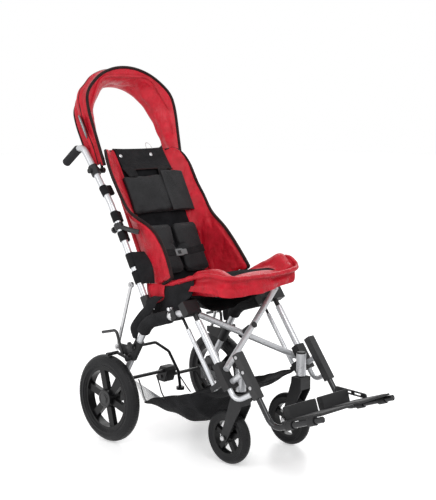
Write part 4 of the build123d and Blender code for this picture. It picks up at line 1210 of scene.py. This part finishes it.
def make_fittings(side):
    """Knobs, caps, clamps and bolts of one side, modelled on the left."""
    knob = [
        turned_piece(place(222, 88, 325), X_AXIS, KNOB_STEM, zinc_plate, 32),
        lobed_knob(place(229, 88, 325), X_AXIS, 16, 5, 12, black_nylon),
        turned_piece(place(240.5, 88, 325), X_AXIS, KNOB_CAP, black_coat, 32),
    ]
    arm_ahead = push_ahead(ARM_UP)
    grip = place(PUSH_X, arm_ahead, ARM_UP)
    arm_line = [
        grip, place(199, arm_ahead + 26, ARM_UP - 4), place(194, arm_ahead + 52, ARM_UP - 9),
        place(178, arm_ahead + 74, ARM_UP - 14),
    ]
    arm = [
        turned_piece(grip - PUSH_LOW * 0.011, PUSH_LOW, COLLAR, black_nylon, 40),
        piping("arm_tube", arm_line, 0.0085, black_coat),
        turned_piece(grip - PUSH_FRONT * 0.012, -PUSH_FRONT, ARM_BOLT, black_nylon, 32),
    ]
    hold = place(208, 262, 414 + (262 - 148) * RAIL_SLOPE)
    turn = Matrix((X_AXIS, RAIL_ALONG, RAIL_TOP)).transposed()
    screw = hold + RAIL_TOP * 0.021 - X_AXIS * 0.011
    clamp = [
        turned_piece(hold - RAIL_ALONG * 0.009, RAIL_ALONG, CLAMP_RING, zinc_plate, 44),
        flat_block(hold + RAIL_TOP * 0.0195, (9, 14, 14), turn, 2, zinc_plate),
        turned_piece(screw, X_AXIS, CLAMP_SCREW, bright_chrome, 28),
    ]
    hub_cap = turned_piece(place(273.1, 0, WHEEL_UP), X_AXIS, HUB_CAP, black_coat, 60)
    caster_cap = turned_piece(place(140, 497, 312.1), (0, 0, 1), CASTER_CAP, black_nylon, 44)
    nuts = [
        turned_piece(place(x, CASTER_AHEAD, CASTER_UP), way, NUT, zinc_plate, 6)
        for x, way in ((168, X_AXIS), (112, -X_AXIS))
    ]
    bolts = [turned_piece(on_leg(178.2, up, 74), X_AXIS, CHANNEL_BOLT, zinc_plate, 24) for up in (6, -44, -96)]
    mat = grid("mat", 6, 84, footplate_mat_at)
    coat(mat, black_nylon)
    use(mat, "SOLIDIFY", thickness=0.0008, offset=0)
    shaded(mat, 50)
    for name, pieces, body, slot in (
        ("star_knob", knob, "side", "black_plastic"),
        ("support_arm", arm, "side", "black_plastic"),
        ("rail_clamp", clamp, "side", "zinc"),
        ("hub_cap", [hub_cap], "rear_wheel", "black_plastic"),
        ("caster_cap", [caster_cap], "front", "black_plastic"),
        ("caster_nuts", nuts, "caster", "zinc"),
        ("channel_bolts", bolts, "front", "zinc"),
        ("footplate_mat", [mat], "plate", "black_plastic"),
    ):
        piece = joined(f"{side}_{name}", pieces) if len(pieces) > 1 else pieces[0]
        piece.name = f"{side}_{name}"
        if side == "right":
            flip(piece)
        fixed(piece, slot, body=f"{side}_{body}")


for side in SIDES:
    make_fittings(side)


def canopy_vent(side):
    """An oval vent with a moulded rim in the canopy's side, modelled on the right."""
    best = min((abs(canopy_cover_at(i / 400, 0.5).z - 1.036), i / 400) for i in range(20, 160))[1]
    middle = canopy_cover_at(best, 0.5)
    along = (canopy_cover_at(best + 0.02, 0.5) - middle).normalized()
    across = (canopy_cover_at(best, 0.62) - middle).normalized()
    out = Vector((-0.0035, 0, 0))

    def rim_at(angle, share):
        return middle + out + along * (0.040 * sin(angle) * share) + across * (0.019 * cos(angle) * share)

    def net_at(u, v):
        return rim_at(pi * (2 * v - 1), 0.02 + 0.96 * u)

    bar_line = [rim_at(turn * pi / 2, share) for turn, share in ((-1, 0.95), (-1, 0.3), (1, 0.3), (1, 0.95))]
    rim = piping("vent_rim", [rim_at(i * 2 * pi / 24, 1.0) for i in range(24)], 0.0022, grey_plastic, closed=True)
    net = cloth_sheet("vent_net", 12, 20, net_at, webbing, thickness=0.0008, rounds=0)
    bar = piping("vent_bar", bar_line, 0.0016, zinc_plate)
    vent = joined(f"{side}_canopy_vent", [rim, net, bar])
    if side == "left":
        flip(vent)
    on_canopy(vent, "black_plastic")


canopy_vent("right")
canopy_vent("left")
